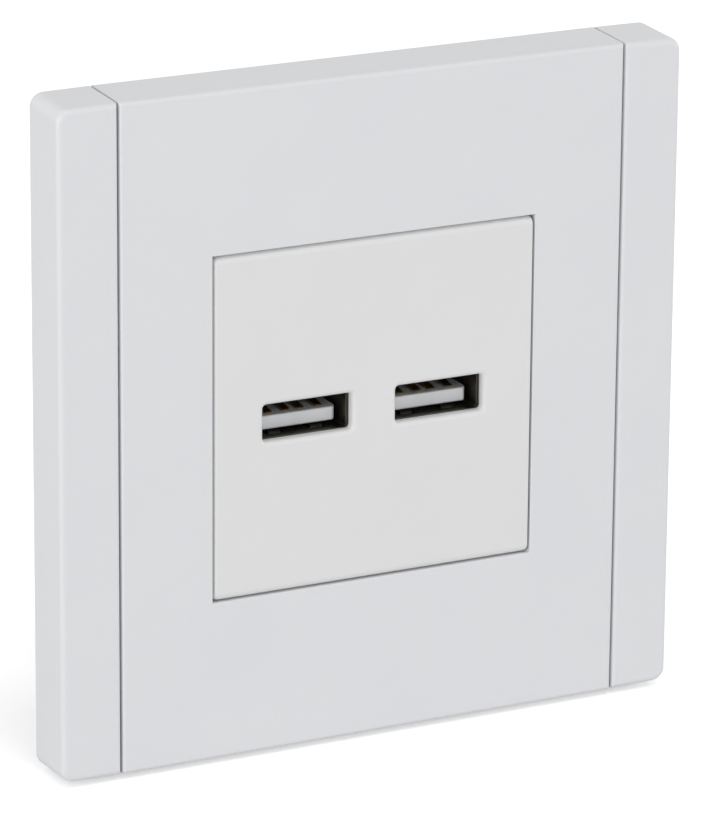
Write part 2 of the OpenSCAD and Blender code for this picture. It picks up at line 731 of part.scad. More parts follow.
// Charge controller on the back of the USB board: a flat body with four leads on each side
chip = [4.9, 1.5, 3.9];
chip_z = -9;
chip_lead_w = 0.4;
chip_lead_l = 1;
chip_lead_t = 0.2;
chip_lead_pitch = 1.27;
chip_leads = 4;
module charge_controller() color(sleeve_black) translate([0, board_y + board_t, chip_z]) {
    block([-chip[0] / 2, chip_lead_t / 2, -chip[2] / 2], [chip[0] / 2, chip[1], chip[2] / 2]);
    for (i = [0 : chip_leads - 1]) top_and_bottom()
        translate([(i - (chip_leads - 1) / 2) * chip_lead_pitch, 0, 0])
            block([-chip_lead_w / 2, 0, chip[2] / 2 - over],
                [chip_lead_w / 2, chip_lead_t, chip[2] / 2 + chip_lead_l]);
}

// Transformer: an E core around an upright bobbin
transformer_z = 8.4;
core_w = 16;
core_depth = 5;
core_yoke = 2;
core_centre_w = 4;
core_rise = 0.6;
core_clear = 0.4;
core_h = parts_room - core_rise - core_clear;
core_fit = 0.15;
bobbin_wall = 0.6;
flange_t = 0.8;
flange_x = 5.7;
flange_half_z = 6.2;
winding_x = 5.3;
winding_z = 5.9;
winding_r = 1.6;
core_y0 = parts_y + core_rise;
core_y1 = core_y0 + core_h;
module at_transformer() translate([0, 0, transformer_z]) children();
module transformer_core() color([0.25, 0.25, 0.27]) at_transformer() difference() {
    block([-core_w / 2, core_y0, -core_depth / 2], [core_w / 2, core_y1, core_depth / 2]);
    both_sides()
        block([core_centre_w / 2, core_y0 + core_yoke, -core_depth],
            [core_w / 2 - core_yoke, core_y1 - core_yoke, core_depth]);
}
tube_half_x = core_centre_w / 2 + core_fit + bobbin_wall;
tube_half_z = core_depth / 2 + core_fit + bobbin_wall;
module transformer_bobbin() color(sleeve_black) at_transformer() difference() {
    union() {
        for (y = [core_y0 + core_yoke + core_fit, core_y1 - core_yoke - core_fit - flange_t])
            block([-flange_x, y, -flange_half_z], [flange_x, y + flange_t, flange_half_z]);
        block([-tube_half_x, core_y0 + core_yoke + core_fit, -tube_half_z],
            [tube_half_x, core_y1 - core_yoke - core_fit, tube_half_z]);
        top_and_bottom()
            block([-flange_x, parts_y, core_depth / 2 + core_fit],
                [flange_x, core_y0 + core_yoke + core_fit + flange_t, flange_half_z]);
    }
    block([-core_centre_w / 2 - core_fit, core_y0, -core_depth / 2 - core_fit],
        [core_centre_w / 2 + core_fit, core_y1, core_depth / 2 + core_fit]);
}
module transformer_winding() color([0.85, 0.75, 0.2]) at_transformer()
    along_y(core_y0 + core_yoke + core_fit + flange_t, core_y1 - core_yoke - core_fit - flange_t)
        difference() {
            rounded_rect(winding_x, winding_z, winding_r);
            square([2 * tube_half_x, 2 * tube_half_z], center = true);
        }

// An electrolytic capacitor standing on the board, with the crimp groove near its base
capacitor_r = 3.15;
capacitor_x = 13.4;
capacitor_z = 3;
capacitor_pitch = 6.9;
input_capacitor_clear = 0.8;
output_capacitor_clear = 2.8;
input_capacitor_h = parts_room - input_capacitor_clear;
output_capacitor_h = parts_room - output_capacitor_clear;
crimp_y = 1.4;
crimp_d = 0.3;
crimp_w = 0.8;
capacitor_edge = 0.4;
module capacitor(h) translate([0, parts_y, 0]) rotate([-90, 0, 0]) rotate_extrude()
    polygon([[0, 0], [capacitor_r, 0], [capacitor_r, crimp_y], [capacitor_r - crimp_d, crimp_y + crimp_w / 2],
        [capacitor_r, crimp_y + crimp_w], [capacitor_r, h - capacitor_edge],
        [capacitor_r - capacitor_edge, h], [0, h]]);
module capacitor_pair(side, h)
    for (row = [-1, 1])
        translate([side * capacitor_x, 0, capacitor_z + row * capacitor_pitch / 2]) capacitor(h);
module input_capacitors() color(sleeve_black) capacitor_pair(-1, input_capacitor_h);
module output_capacitors() color([0.15, 0.2, 0.35]) capacitor_pair(1, output_capacitor_h);

// Bridge rectifier: a flat body on four short leads
bridge = [6.5, 2.5, 4];
bridge_at = [5.2, -3.9];
bridge_lead_w = 1;
bridge_lead_l = 0.6;
bridge_lead_t = 0.3;
bridge_lead_pitch = 4;
module bridge_rectifier() color(sleeve_black) translate([bridge_at[0], parts_y, bridge_at[1]]) {
    block([-bridge[0] / 2, 0, -bridge[2] / 2], [bridge[0] / 2, bridge[1], bridge[2] / 2]);
    both_sides() top_and_bottom()
        block([bridge_lead_pitch / 2 - bridge_lead_w / 2, 0, bridge[2] / 2 - over],
            [bridge_lead_pitch / 2 + bridge_lead_w / 2, bridge_lead_t, bridge[2] / 2 + bridge_lead_l]);
}

// Fusible resistor: a bone-shaped body lying on the board, on bent leads
fuse_r = 1.6;
fuse_waist_r = 1.35;
fuse_l = 7.4;
fuse_cap_l = 1.4;
fuse_rise = 0.3;
lead_r = 0.3;
fuse_lead_l = 0.8;
fuse_at = [-4.6, -3.8];
module fuse_resistor() color([0.42, 0.6, 0.55])
    translate([fuse_at[0], parts_y + fuse_rise + fuse_r, fuse_at[1]]) {
        rotate([0, 90, 0]) translate([0, 0, -fuse_l / 2]) rotate_extrude()
            polygon([[0, 0], [fuse_r, 0], [fuse_r, fuse_cap_l], [fuse_waist_r, fuse_cap_l + fuse_rise],
                [fuse_waist_r, fuse_l - fuse_cap_l - fuse_rise], [fuse_r, fuse_l - fuse_cap_l],
                [fuse_r, fuse_l], [0, fuse_l]]);
        both_sides() {
            translate([fuse_l / 2 - over, 0, 0]) rotate([0, 90, 0])
                cylinder(r = lead_r, h = fuse_lead_l + over);
            translate([fuse_l / 2 + fuse_lead_l - lead_r, 0, 0]) rod_y(lead_r, -fuse_rise - fuse_r, lead_r);
        }
    }

// A disc with two straight legs that stands on the board
module disc_part(r, t, rise, leg_gap) {
    translate([0, parts_y + rise + r, -t / 2]) rotate_extrude()
        polygon([[0, 0], [r - t / 4, 0], [r, t / 4], [r, t - t / 4], [r - t / 4, t], [0, t]]);
    both_sides() translate([leg_gap / 2, 0, 0]) rod_y(lead_r, parts_y, parts_y + rise + r);
}
varistor_r = 3.2;
varistor_t = 3.2;
varistor_at = [-4.4, 0.2];
safety_r = 2.9;
safety_t = 2.6;
safety_at = [4.4, 0.4];
disc_rise = 0.5;
disc_leg_gap = 4;
module varistor() color([0.2, 0.3, 0.65]) translate([varistor_at[0], 0, varistor_at[1]])
    disc_part(varistor_r, varistor_t, disc_rise, disc_leg_gap);
module safety_capacitor() color([0.25, 0.5, 0.75]) translate([safety_at[0], 0, safety_at[1]])
    disc_part(safety_r, safety_t, disc_rise, disc_leg_gap);

// Drum core choke: two flanges with the winding between them
choke_r = 2.9;
choke_h = 6.8;
choke_flange = 1.2;
choke_wind_r = 2.7;
choke_at = [-14, -7.6];
module choke() color([0.55, 0.3, 0.12]) translate([choke_at[0], parts_y, choke_at[1]])
    rotate([-90, 0, 0]) rotate_extrude()
        polygon([[0, 0], [choke_r, 0], [choke_r, choke_flange], [choke_wind_r, choke_flange],
            [choke_wind_r, choke_h - choke_flange], [choke_r, choke_h - choke_flange],
            [choke_r, choke_h], [0, choke_h]]);

// Output rectifier: a flat package with a wide tab
rectifier = [5.6, 2.3, 5.2];
rectifier_at = [14.2, -7.4];
rectifier_tab_w = 4.4;
rectifier_tab_l = 1;
rectifier_tab_t = 0.5;
module output_rectifier() color(sleeve_black) translate([rectifier_at[0], parts_y, rectifier_at[1]]) {
    block([-rectifier[0] / 2, 0, -rectifier[2] / 2], [rectifier[0] / 2, rectifier[1], rectifier[2] / 2]);
    block([-rectifier_tab_w / 2, 0, rectifier[2] / 2 - over],
        [rectifier_tab_w / 2, rectifier_tab_t, rectifier[2] / 2 + rectifier_tab_l]);
}

module at_terminal(side) translate([side * terminal_x, terminal_y, 0]) children();

module terminal_block() color([0.9, 0.9, 0.88]) difference() {
    block([-terminal_half_w, parts_y, terminal_bottom_z], [terminal_half_w, terminal_back_y, terminal_top_z]);
    for (side = [-1, 1]) at_terminal(side) {
        block([-chamber_half_w, -chamber_half_l, chamber_z0], [chamber_half_w, chamber_half_l, chamber_z1]);
        rod_z(pocket_r, terminal_bottom_z - over, terminal_bottom_z + pocket_h);
        rod_z(terminal_screw_r + cage_fit, terminal_bottom_z, chamber_z0 + over);
        block([-wire_w / 2, 0, busbar_z + busbar_t],
            [wire_w / 2, terminal_back_y - terminal_y + over, busbar_z + busbar_t + wire_h]);
        block([-busbar_w / 2 - busbar_fit, parts_y - terminal_y - over, busbar_z - busbar_fit],
            [busbar_w / 2 + busbar_fit, 0, busbar_z + busbar_t + busbar_fit]);
    }
}

module terminal_busbars() color(brass) for (side = [-1, 1]) at_terminal(side) {
    block([-busbar_w / 2, parts_y - terminal_y, busbar_z], [busbar_w / 2, cage_l / 2, busbar_z + busbar_t]);
    block([-busbar_pin_w / 2, power_y - terminal_y - busbar_pin_l, busbar_z],
        [busbar_pin_w / 2, parts_y - terminal_y + over, busbar_z + busbar_t]);
}

module terminal_cage() color([0.8, 0.8, 0.76]) difference() {
    block([-cage_inner_w / 2 - cage_wall, -cage_l / 2, cage_bottom_z],
        [cage_inner_w / 2 + cage_wall, cage_l / 2, cage_top_z]);
    block([-cage_inner_w / 2, -cage_l, cage_bottom_z + cage_base_t],
        [cage_inner_w / 2, cage_l, cage_top_z - cage_wall]);
    rod_z(terminal_screw_r + cage_fit, cage_bottom_z - over, cage_bottom_z + cage_base_t + over);
}
module terminal_cage_left() at_terminal(-1) terminal_cage();
module terminal_cage_right() at_terminal(1) terminal_cage();

module terminal_screw() color(steel) {
    seat_z = terminal_bottom_z + pocket_h - cage_play;
    translate([0, 0, seat_z]) rotate([90, 0, 0])
        screw_y(terminal_screw_r, busbar_z - cage_play / 2 - seat_z, terminal_head_r, terminal_head_h);
}
module terminal_screw_left() at_terminal(-1) terminal_screw();
module terminal_screw_right() at_terminal(1) terminal_screw();

// The right-hand claw about its pivot: a long toothed leg, two cheeks and a short arm with a slot
module claw_teeth_outline() {
    pitch = 2 * claw_foot_half_w / tooth_count;
    root = claw_l - tooth_d;
    wide_y = claw_widen_y + claw_foot_half_w - claw_half_w;
    polygon(concat([[-claw_t, -claw_half_w], [-claw_t, claw_half_w], [claw_widen_y, claw_half_w],
            [wide_y, claw_foot_half_w]],
        [for (i = [0 : tooth_count - 1], half = [0, 1])
            [root + half * tooth_d, claw_foot_half_w - (i + half / 2) * pitch]],
        [[root, -claw_foot_half_w], [wide_y, -claw_foot_half_w], [claw_widen_y, -claw_half_w]]));
}
module claw() color(steel) difference() {
    inner = -claw_web_x;
    outer = inner - claw_t;
    foot_y = claw_l - claw_foot_l;
    union() {
        intersection() {
            along_z(-claw_foot_half_w, claw_foot_half_w)
                polygon([[outer, -claw_t], [outer, foot_y], [outer + claw_foot_l, claw_l],
                    [outer + claw_foot_l + claw_t, claw_l], [outer + claw_foot_l + claw_t, claw_l - claw_t],
                    [inner, foot_y - claw_t / 2], [inner, -claw_t]]);
            along_x(outer - over, claw_foot_l + over) claw_teeth_outline();
        }
        top_and_bottom() along_z(claw_half_w - claw_t, claw_half_w)
            outline([[outer, -claw_t, 0], [pin_r + pin_fit + nut_gap, -claw_t, claw_t / 2],
                [claw_arm_l, -claw_t / 2, 0], [claw_arm_l, claw_t / 2, 0], [claw_arm, claw_t + pin_r, claw_t],
                [inner, claw_cheek_l, 0], [outer, claw_cheek_l, 0]]);
        block([pin_r + pin_fit + nut_gap, -claw_t / 2, -claw_half_w], [claw_arm_l, claw_t / 2, claw_half_w]);
    }
    rod_z(pin_r + pin_fit, -claw_half_w - over, claw_half_w + over);
    block([claw_arm - claw_slot_in, -claw_t, -claw_slot_in],
        [claw_arm + claw_slot_out, claw_t, claw_slot_in]);
}
module at_pivot() translate([claw_pivot_x, claw_pivot_y, 0]) children();
module to_left() mirror([1, 0, 0]) children();
module claw_right() at_pivot() claw();
module claw_left() to_left() claw_right();

module claw_pin_right() color(steel) at_pivot()
    rod_z(pin_r, -lug_z - lug_t, lug_z + lug_t);
module claw_pin_left() to_left() claw_pin_right();

module claw_screw_right() color(steel) translate([claw_screw_x, -strap_t, 0])
    screw_y(claw_screw_r, claw_screw_tip_y + strap_t, claw_head_r, claw_head_h);
module claw_screw_left() to_left() claw_screw_right();

module claw_retainer_right() color(steel) translate([claw_screw_x, 0, 0]) difference() {
    rod_y(retainer_r, retainer_play, retainer_play + retainer_t);
    rod_y(claw_screw_r + pin_seat, 0, retainer_play + retainer_t + over);
}
module claw_retainer_left() to_left() claw_retainer_right();

// The claw nut: a round cross bar with the thread through it
module claw_nut_right() color(brass) translate([claw_screw_x, nut_y, 0]) difference() {
    rod_z(nut_r, -nut_half_l, nut_half_l);
    rod_y(claw_screw_r + pin_fit, -nut_r - over, nut_r + over);
}
module claw_nut_left() to_left() claw_nut_right();

frame_body();
left_strip();
right_strip();
centre_plate();
usb_shell_left();
usb_shell_right();
usb_tongue_left();
usb_tongue_right();
usb_contacts_left();
usb_contacts_right();
mounting_strap();
front_housing();
rear_housing();
housing_screws();
usb_board();
power_board();
board_header();
charge_controller();
transformer_core();
transformer_bobbin();
transformer_winding();
input_capacitors();
output_capacitors();
bridge_rectifier();
fuse_resistor();
varistor();
safety_capacitor();
choke();
output_rectifier();
terminal_block();
terminal_busbars();
terminal_cage_left();
terminal_cage_right();
terminal_screw_left();
terminal_screw_right();
claw_left();
claw_right();
claw_pin_left();
claw_pin_right();
claw_screw_left();
claw_screw_right();
claw_retainer_left();
claw_retainer_right();
claw_nut_left();
claw_nut_right();
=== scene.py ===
# %% [markdown]
# # A twin USB wall socket, dressed for the eye
# The real object is a flush wall socket: a white moulded cover of three pieces, a 45 mm centre
# plate with two type-A ports, and behind it a galvanised strap, two spreading claws and a charger
# in a grey box. The CAD model already has the right size and place of every part. This script
# loads it as a fixed frame, makes finer pieces for what the eye meets, and gives every part the
# surface of its real material.
#
# Each step has a cell of words, such as this one, and then short cells of code.

import json
import math

import bmesh
import bpy
from mathutils import Matrix, Vector


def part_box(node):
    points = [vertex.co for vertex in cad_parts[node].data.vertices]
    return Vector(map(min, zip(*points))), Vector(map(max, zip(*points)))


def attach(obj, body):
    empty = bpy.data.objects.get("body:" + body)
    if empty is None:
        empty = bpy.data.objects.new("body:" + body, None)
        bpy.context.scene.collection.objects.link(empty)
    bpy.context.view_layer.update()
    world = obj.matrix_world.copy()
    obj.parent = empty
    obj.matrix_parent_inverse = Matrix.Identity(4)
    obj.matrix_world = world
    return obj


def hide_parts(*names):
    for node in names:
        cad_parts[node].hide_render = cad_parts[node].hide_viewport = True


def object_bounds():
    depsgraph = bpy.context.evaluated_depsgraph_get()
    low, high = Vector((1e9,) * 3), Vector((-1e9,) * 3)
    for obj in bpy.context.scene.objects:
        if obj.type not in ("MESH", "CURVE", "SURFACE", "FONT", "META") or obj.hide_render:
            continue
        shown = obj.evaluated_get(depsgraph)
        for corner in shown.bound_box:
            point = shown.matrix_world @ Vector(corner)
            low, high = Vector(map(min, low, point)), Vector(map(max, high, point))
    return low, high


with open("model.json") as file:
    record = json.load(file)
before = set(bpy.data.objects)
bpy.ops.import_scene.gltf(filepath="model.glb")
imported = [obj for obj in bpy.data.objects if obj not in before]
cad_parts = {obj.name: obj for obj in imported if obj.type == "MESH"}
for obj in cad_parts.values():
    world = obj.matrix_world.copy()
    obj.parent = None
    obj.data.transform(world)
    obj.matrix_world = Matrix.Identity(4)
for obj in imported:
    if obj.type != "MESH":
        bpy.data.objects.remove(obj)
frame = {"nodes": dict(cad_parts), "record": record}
cad_low, cad_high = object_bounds()
print("CAD box in mm:", [round(c * 1000, 2) for c in (*cad_low, *cad_high)])

# %% [markdown]
# ## Working in millimetres
# A socket is drawn in millimetres, and Blender counts in metres. The shapes below are therefore
# modelled in millimetres, and one scaling turns the finished mesh into metres. X runs to the
# right, Y into the wall and Z up. The wall is the plane Y = 0, so the front face has a negative Y.

# %% Sizes that several pieces share
MM = 0.001
FRONT_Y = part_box("centre_plate")[0].y / MM
WALL_Y = 0.0
FRONT_WALL_Y = FRONT_Y + 2.0
HALF_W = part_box("right_strip")[1].x / MM
HALF_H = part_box("right_strip")[1].z / MM
STRIP_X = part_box("right_strip")[0].x / MM
EDGE_LEAN, GROOVE_GAP, SIDE_WALL, OUTER_WALL, RIB_WALL = 0.35, 0.22, 1.4, 1.8, 1.2
MIDDLE_X = STRIP_X - GROOVE_GAP
HOLLOW_X, HOLLOW_Z = MIDDLE_X - SIDE_WALL, HALF_H - EDGE_LEAN - OUTER_WALL
WING_X, WING_Z, WING_BACK_Y = HALF_W - OUTER_WALL - 0.25, HOLLOW_Z - 0.25, -5.3
PLATE_HALF, PORT_X = 22.5, 9.35
print("front at", round(FRONT_Y, 2), "mm, half width", round(HALF_W, 2), "mm")

# %% [markdown]
# ## Small modelling helpers
# Most pieces are moulded or stamped, so they begin as blocks and prisms, lose material where the
# real one is hollow, and get their edges rounded last. Blocks come from one cube that is scaled
# and moved. Cuts and joints use the Boolean modifier's exact solver on two passing objects,
# because a hollow with ribs would otherwise need its faces laid by hand. The edges to round are
# chosen by their place and carry their radius as a bevel weight, so one Bevel modifier can round
# a 1.7 mm corner and a 0.3 mm rim together, and their meeting points stay smooth.

# %% Blocks, prisms and rods
def round_now(shape, edges, radius, steps):
    """Rounds these edges in the mesh itself, for outlines that later cuts and marks build on."""
    bmesh.ops.bevel(shape, geom=edges, offset=radius, offset_type="OFFSET", segments=steps, profile=0.5,
                    affect="EDGES", material=-1)


def new_block(low, high, corner_r=0, axis=1, steps=8):
    """A block between two corners in mm; corner_r rounds its four edges along one axis."""
    shape = bmesh.new()
    bmesh.ops.create_cube(shape, size=1)
    low, high = Vector(map(min, low, high)), Vector(map(max, low, high))
    bmesh.ops.scale(shape, vec=high - low, verts=shape.verts)
    bmesh.ops.translate(shape, vec=(low + high) / 2, verts=shape.verts)
    if corner_r:
        runs = [(edge, edge.verts[1].co - edge.verts[0].co) for edge in shape.edges]
        round_now(shape, [edge for edge, run in runs if abs(run[axis]) > 0.99 * run.length], corner_r, steps)
    return shape


def new_prism(points, run):
    """A prism: a face through the given points, pushed along run."""
    shape = bmesh.new()
    face = shape.faces.new([shape.verts.new(p) for p in points])
    pushed = bmesh.ops.extrude_face_region(shape, geom=[face])["geom"]
    bmesh.ops.translate(shape, vec=run, verts=[g for g in pushed if isinstance(g, bmesh.types.BMVert)])
    bmesh.ops.recalc_face_normals(shape, faces=shape.faces)
    return shape


def new_rod(radius, start, end, steps=48):
    """A round bar between two points."""
    shape = bmesh.new()
    start, end = Vector(start), Vector(end)
    bmesh.ops.create_cone(shape, cap_ends=True, segments=steps, radius1=radius, radius2=radius,
                          depth=(end - start).length)
    turn = Vector((0, 0, 1)).rotation_difference(end - start).to_matrix().to_4x4()
    bmesh.ops.transform(shape, matrix=Matrix.Translation((start + end) / 2) @ turn, verts=shape.verts)
    return shape


def gather(shapes):
    """Several shapes in one bmesh, for one cut or one joint."""
    whole = bmesh.new()
    for shape in shapes:
        passing = bpy.data.meshes.new("passing")
        shape.to_mesh(passing)
        shape.free()
        whole.from_mesh(passing)
        bpy.data.meshes.remove(passing)
    return whole


def mirrored(shape, axis=0):
    """A copy of a shape on the other side of the middle."""
    other = shape.copy()
    flip = [1, 1, 1]
    flip[axis] = -1
    bmesh.ops.scale(other, vec=flip, verts=other.verts)
    bmesh.ops.recalc_face_normals(other, faces=other.faces)
    return other


print("helpers for blocks, prisms and rods are ready")

# %% Cuts and joints
scene = bpy.context.scene
CUT, JOIN = "DIFFERENCE", "UNION"
SAME_PLACE_MM, FLAT_ANGLE = 1e-4, math.radians(0.2)


def combine(shape, tool, how=CUT):
    """The shape cut by a tool, or joined with it."""
    passing = []
    for part in (shape, tool):
        mesh = bpy.data.meshes.new("passing")
        part.to_mesh(mesh)
        part.free()
        passing.append(bpy.data.objects.new("passing", mesh))
        scene.collection.objects.link(passing[-1])
    boolean = passing[0].modifiers.new("combine", "BOOLEAN")
    boolean.object, boolean.operation, boolean.solver = passing[1], how, "EXACT"
    graph = bpy.context.evaluated_depsgraph_get()
    result = bmesh.new()
    result.from_mesh(passing[0].evaluated_get(graph).to_mesh())
    for part in passing:
        mesh = part.data
        bpy.data.objects.remove(part)
        bpy.data.meshes.remove(mesh)
    bmesh.ops.remove_doubles(result, verts=result.verts, dist=SAME_PLACE_MM)
    bmesh.ops.dissolve_limit(result, angle_limit=FLAT_ANGLE, verts=result.verts, edges=result.edges)
    return result


def divide(shape, seams):
    """Divides the faces at each seam, an axis and a place in mm, so that no face goes round a hole."""
    for axis, place in seams:
        across = Vector([float(i == axis) for i in range(3)])
        bmesh.ops.bisect_plane(shape, geom=shape.verts[:] + shape.edges[:] + shape.faces[:],
                               plane_co=across * place, plane_no=across)


def from_cad(node, seams=()):
    """A copy of a CAD node in mm, its loose triangles merged and its flat faces made whole."""
    shape = bmesh.new()
    shape.from_mesh(frame["nodes"][node].data)
    bmesh.ops.scale(shape, vec=(1 / MM,) * 3, verts=shape.verts)
    bmesh.ops.remove_doubles(shape, verts=shape.verts, dist=5e-4)
    bmesh.ops.dissolve_limit(shape, angle_limit=FLAT_ANGLE, verts=shape.verts, edges=shape.edges)
    divide(shape, seams)
    return shape


print("helpers for cuts, joints and CAD copies are ready")

# %% Rounded edges, and the step from a shape to a piece
ROUNDEST = 2.0  # mm, the radius that a bevel weight of 1 stands for
WEIGHT = "bevel_weight_edge"


def round_edges(shape, radius, where=lambda p: True, along=None, sharper_than=40):
    """Marks sharp edges to be rounded to radius in mm: both ends pass the test where, and the
    edge runs mostly along the given axis, if there is one."""
    layer = shape.edges.layers.float.get(WEIGHT) or shape.edges.layers.float.new(WEIGHT)
    for edge in shape.edges:
        run = edge.verts[1].co - edge.verts[0].co
        if (edge.calc_face_angle(0) > math.radians(sharper_than) and all(where(v.co) for v in edge.verts)
                and (along is None or abs(run[along]) > 0.9 * run.length)):
            edge[layer] = radius / ROUNDEST


def finish_piece(name, shape, material, body, nodes, steps=4, smooth_below=35):
    """Rounds the marked edges, scales the shape to metres, and lets the piece ride its body."""
    marked = shape.edges.layers.float.get(WEIGHT)
    bmesh.ops.scale(shape, vec=(MM,) * 3, verts=shape.verts)
    mesh = bpy.data.meshes.new(name)
    shape.to_mesh(mesh)
    shape.free()
    piece = bpy.data.objects.new(name, mesh)
    scene.collection.objects.link(piece)
    if marked:
        bevel = piece.modifiers.new("round the edges", "BEVEL")
        bevel.limit_method, bevel.width, bevel.segments = "WEIGHT", ROUNDEST * MM, steps
        bevel.use_clamp_overlap = False
        graph = bpy.context.evaluated_depsgraph_get()
        rounded = bpy.data.meshes.new_from_object(piece.evaluated_get(graph))
        piece.modifiers.clear()
        piece.data = rounded
        bpy.data.meshes.remove(mesh)
        rounded.name = name
    piece.data.polygons.foreach_set("use_smooth", [True] * len(piece.data.polygons))
    piece.data.set_sharp_from_angle(angle=math.radians(smooth_below))
    even = piece.modifiers.new("keep flat faces flat", "WEIGHTED_NORMAL")
    even.keep_sharp, even.weight = True, 100
    piece.data.materials.clear()
    piece.data.materials.append(material)
    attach(piece, body)
    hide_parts(*nodes)
    size = [round(d / MM, 2) for d in piece.dimensions]
    print(f"{name}: {len(piece.data.polygons)} faces, {size} mm")
    return piece


print("helpers for rounding and finishing are ready")

# %% [markdown]
# ## Colours and a way to add a node
# The colours are written as sRGB hex values, as a picture program shows them, and one function
# turns them to the linear values that shaders count in. One small function adds a node, with its
# settings and links. Patterns read Object coordinates, which are metres here, so a pattern of
# 0.2 mm needs a scale of 1000 / 0.2.

# %% The colour and node functions
# A Mix node has sockets of the same names for each type of value, so those for colours go by number.
FACTOR, COLOUR_A, COLOUR_B, MIXED = 0, 6, 7, 2


def hex_colour(code):
    """The linear colour of an sRGB hex code, with full alpha."""
    channels = [int(code[i:i + 2], 16) / 255 for i in (1, 3, 5)]
    linear = [c / 12.92 if c <= 0.04045 else ((c + 0.055) / 1.055) ** 2.4 for c in channels]
    return (*linear, 1.0)


def add_node(tree, kind, inputs=None, **settings):
    """A new node; an input may be a value or another node's output socket."""
    node = tree.nodes.new(kind)
    for name, value in settings.items():
        setattr(node, name, value)
    for name, value in (inputs or {}).items():
        if isinstance(value, bpy.types.NodeSocket):
            tree.links.new(value, node.inputs[name])
        else:
            node.inputs[name].default_value = value
    return node


def per_metre(size_mm):
    """The scale at which a texture's features are about that size."""
    return 1000 / size_mm


def new_material(name):
    """A material with its tree, its Principled shader and its Object coordinates."""
    material = bpy.data.materials.new(name)
    material.use_nodes = True
    tree = material.node_tree
    shader = tree.nodes["Principled BSDF"]
    place = add_node(tree, "ShaderNodeTexCoord").outputs["Object"]
    return material, tree, shader, place


def set_inputs(shader, **values):
    """Values that are the same all over a surface, set on the shader's own sockets."""
    for name, value in values.items():
        shader.inputs[name.replace("_", " ")].default_value = value


print("white", [round(c, 3) for c in hex_colour("#DFE0E2")[:3]])

# %% [markdown]
# ## Moulded plastics
# The cover is satin white ABS, its centre plate a slightly warmer polycarbonate, the housings are
# duller polyamide, and the tongues of the ports are a brighter white. All are injection moulded:
# the steel mould's spark-eroded texture prints a fine grain on them, the melt leaves hardly
# visible clouds of tone a centimetre or two wide, and a few dust specks sit on the surface. The
# real grain is too fine to show in the render, so it is drawn at 0.1 to 0.35 mm. One function
# makes them all, because only colour, grain and gloss differ.

# %% The moulded plastics
PLASTIC_IOR = 1.53
SPECK_CELL_MM, SPECK_STRENGTH, CELLS_WITHOUT_SPECK = 3.2, 0.3, 0.965


def moulded_plastic(name, light, dark, roughness, grain_mm, grain_depth_mm, cloud_mm=14,
                    speck="#A9A9A6", speck_mm=0.35):
    """Injection moulded plastic: clouds of tone, an eroded grain and rare specks."""
    material, tree, shader, place = new_material(name)
    clouds = add_node(tree, "ShaderNodeTexNoise", {
        "Vector": place, "Scale": per_metre(cloud_mm), "Detail": 3.0})
    tone = add_node(tree, "ShaderNodeMix", {
        FACTOR: clouds.outputs["Fac"], COLOUR_A: hex_colour(dark), COLOUR_B: hex_colour(light)},
        data_type="RGBA")
    cells = add_node(tree, "ShaderNodeTexVoronoi", {"Vector": place, "Scale": per_metre(SPECK_CELL_MM)})
    dots = add_node(tree, "ShaderNodeMapRange", {
        "Value": cells.outputs["Distance"], "From Min": 0.0, "From Max": speck_mm / SPECK_CELL_MM / 2,
        "To Min": SPECK_STRENGTH, "To Max": 0.0})
    rare = add_node(tree, "ShaderNodeSeparateColor", {"Color": cells.outputs["Color"]})
    chosen = add_node(tree, "ShaderNodeMath", {0: rare.outputs["Red"], 1: CELLS_WITHOUT_SPECK},
                      operation="GREATER_THAN")
    amount = add_node(tree, "ShaderNodeMath", {0: dots.outputs["Result"], 1: chosen.outputs["Value"]},
                      operation="MULTIPLY")
    specked = add_node(tree, "ShaderNodeMix", {
        FACTOR: amount.outputs["Value"], COLOUR_A: tone.outputs[MIXED], COLOUR_B: hex_colour(speck)},
        data_type="RGBA")
    tree.links.new(specked.outputs[MIXED], shader.inputs["Base Color"])
    grain = add_node(tree, "ShaderNodeTexNoise", {
        "Vector": place, "Scale": per_metre(grain_mm), "Detail": 2.0})
    gloss = add_node(tree, "ShaderNodeMapRange", {
        "Value": grain.outputs["Fac"], "To Min": roughness - 0.05, "To Max": roughness + 0.05})
    tree.links.new(gloss.outputs["Result"], shader.inputs["Roughness"])
    bump = add_node(tree, "ShaderNodeBump", {
        "Height": grain.outputs["Fac"], "Distance": grain_depth_mm * MM, "Strength": 1.0})
    tree.links.new(bump.outputs["Normal"], shader.inputs["Normal"])
    set_inputs(shader, IOR=PLASTIC_IOR)
    return material


white_cover = moulded_plastic("satin_white_ABS", "#E1E2E4", "#DDDEE1", 0.43, 0.2, 0.0012)
white_plate = moulded_plastic("satin_white_polycarbonate", "#E3E3E3", "#DFDFDF", 0.41, 0.2, 0.0012)
white_housing = moulded_plastic("matt_white_polyamide", "#DAD9D4", "#D2D1CB", 0.55, 0.3, 0.004)
grey_housing = moulded_plastic("matt_grey_polyamide", "#3A3D41", "#303338", 0.6, 0.35, 0.01, speck="#55585C")
tongue_plastic = moulded_plastic("white_port_plastic", "#F3F5F7", "#EDEFF2", 0.45, 0.15, 0.001, cloud_mm=5)
terminal_plastic = moulded_plastic("ivory_terminal_polyamide", "#E2E0D6", "#D8D6CB", 0.5, 0.3, 0.003)
black_component = moulded_plastic("black_epoxy_moulding", "#2A2A2D", "#202023", 0.6, 0.12, 0.004, cloud_mm=4,
                                  speck="#4A4A4C")
print("moulded plastics:", len(bpy.data.materials))

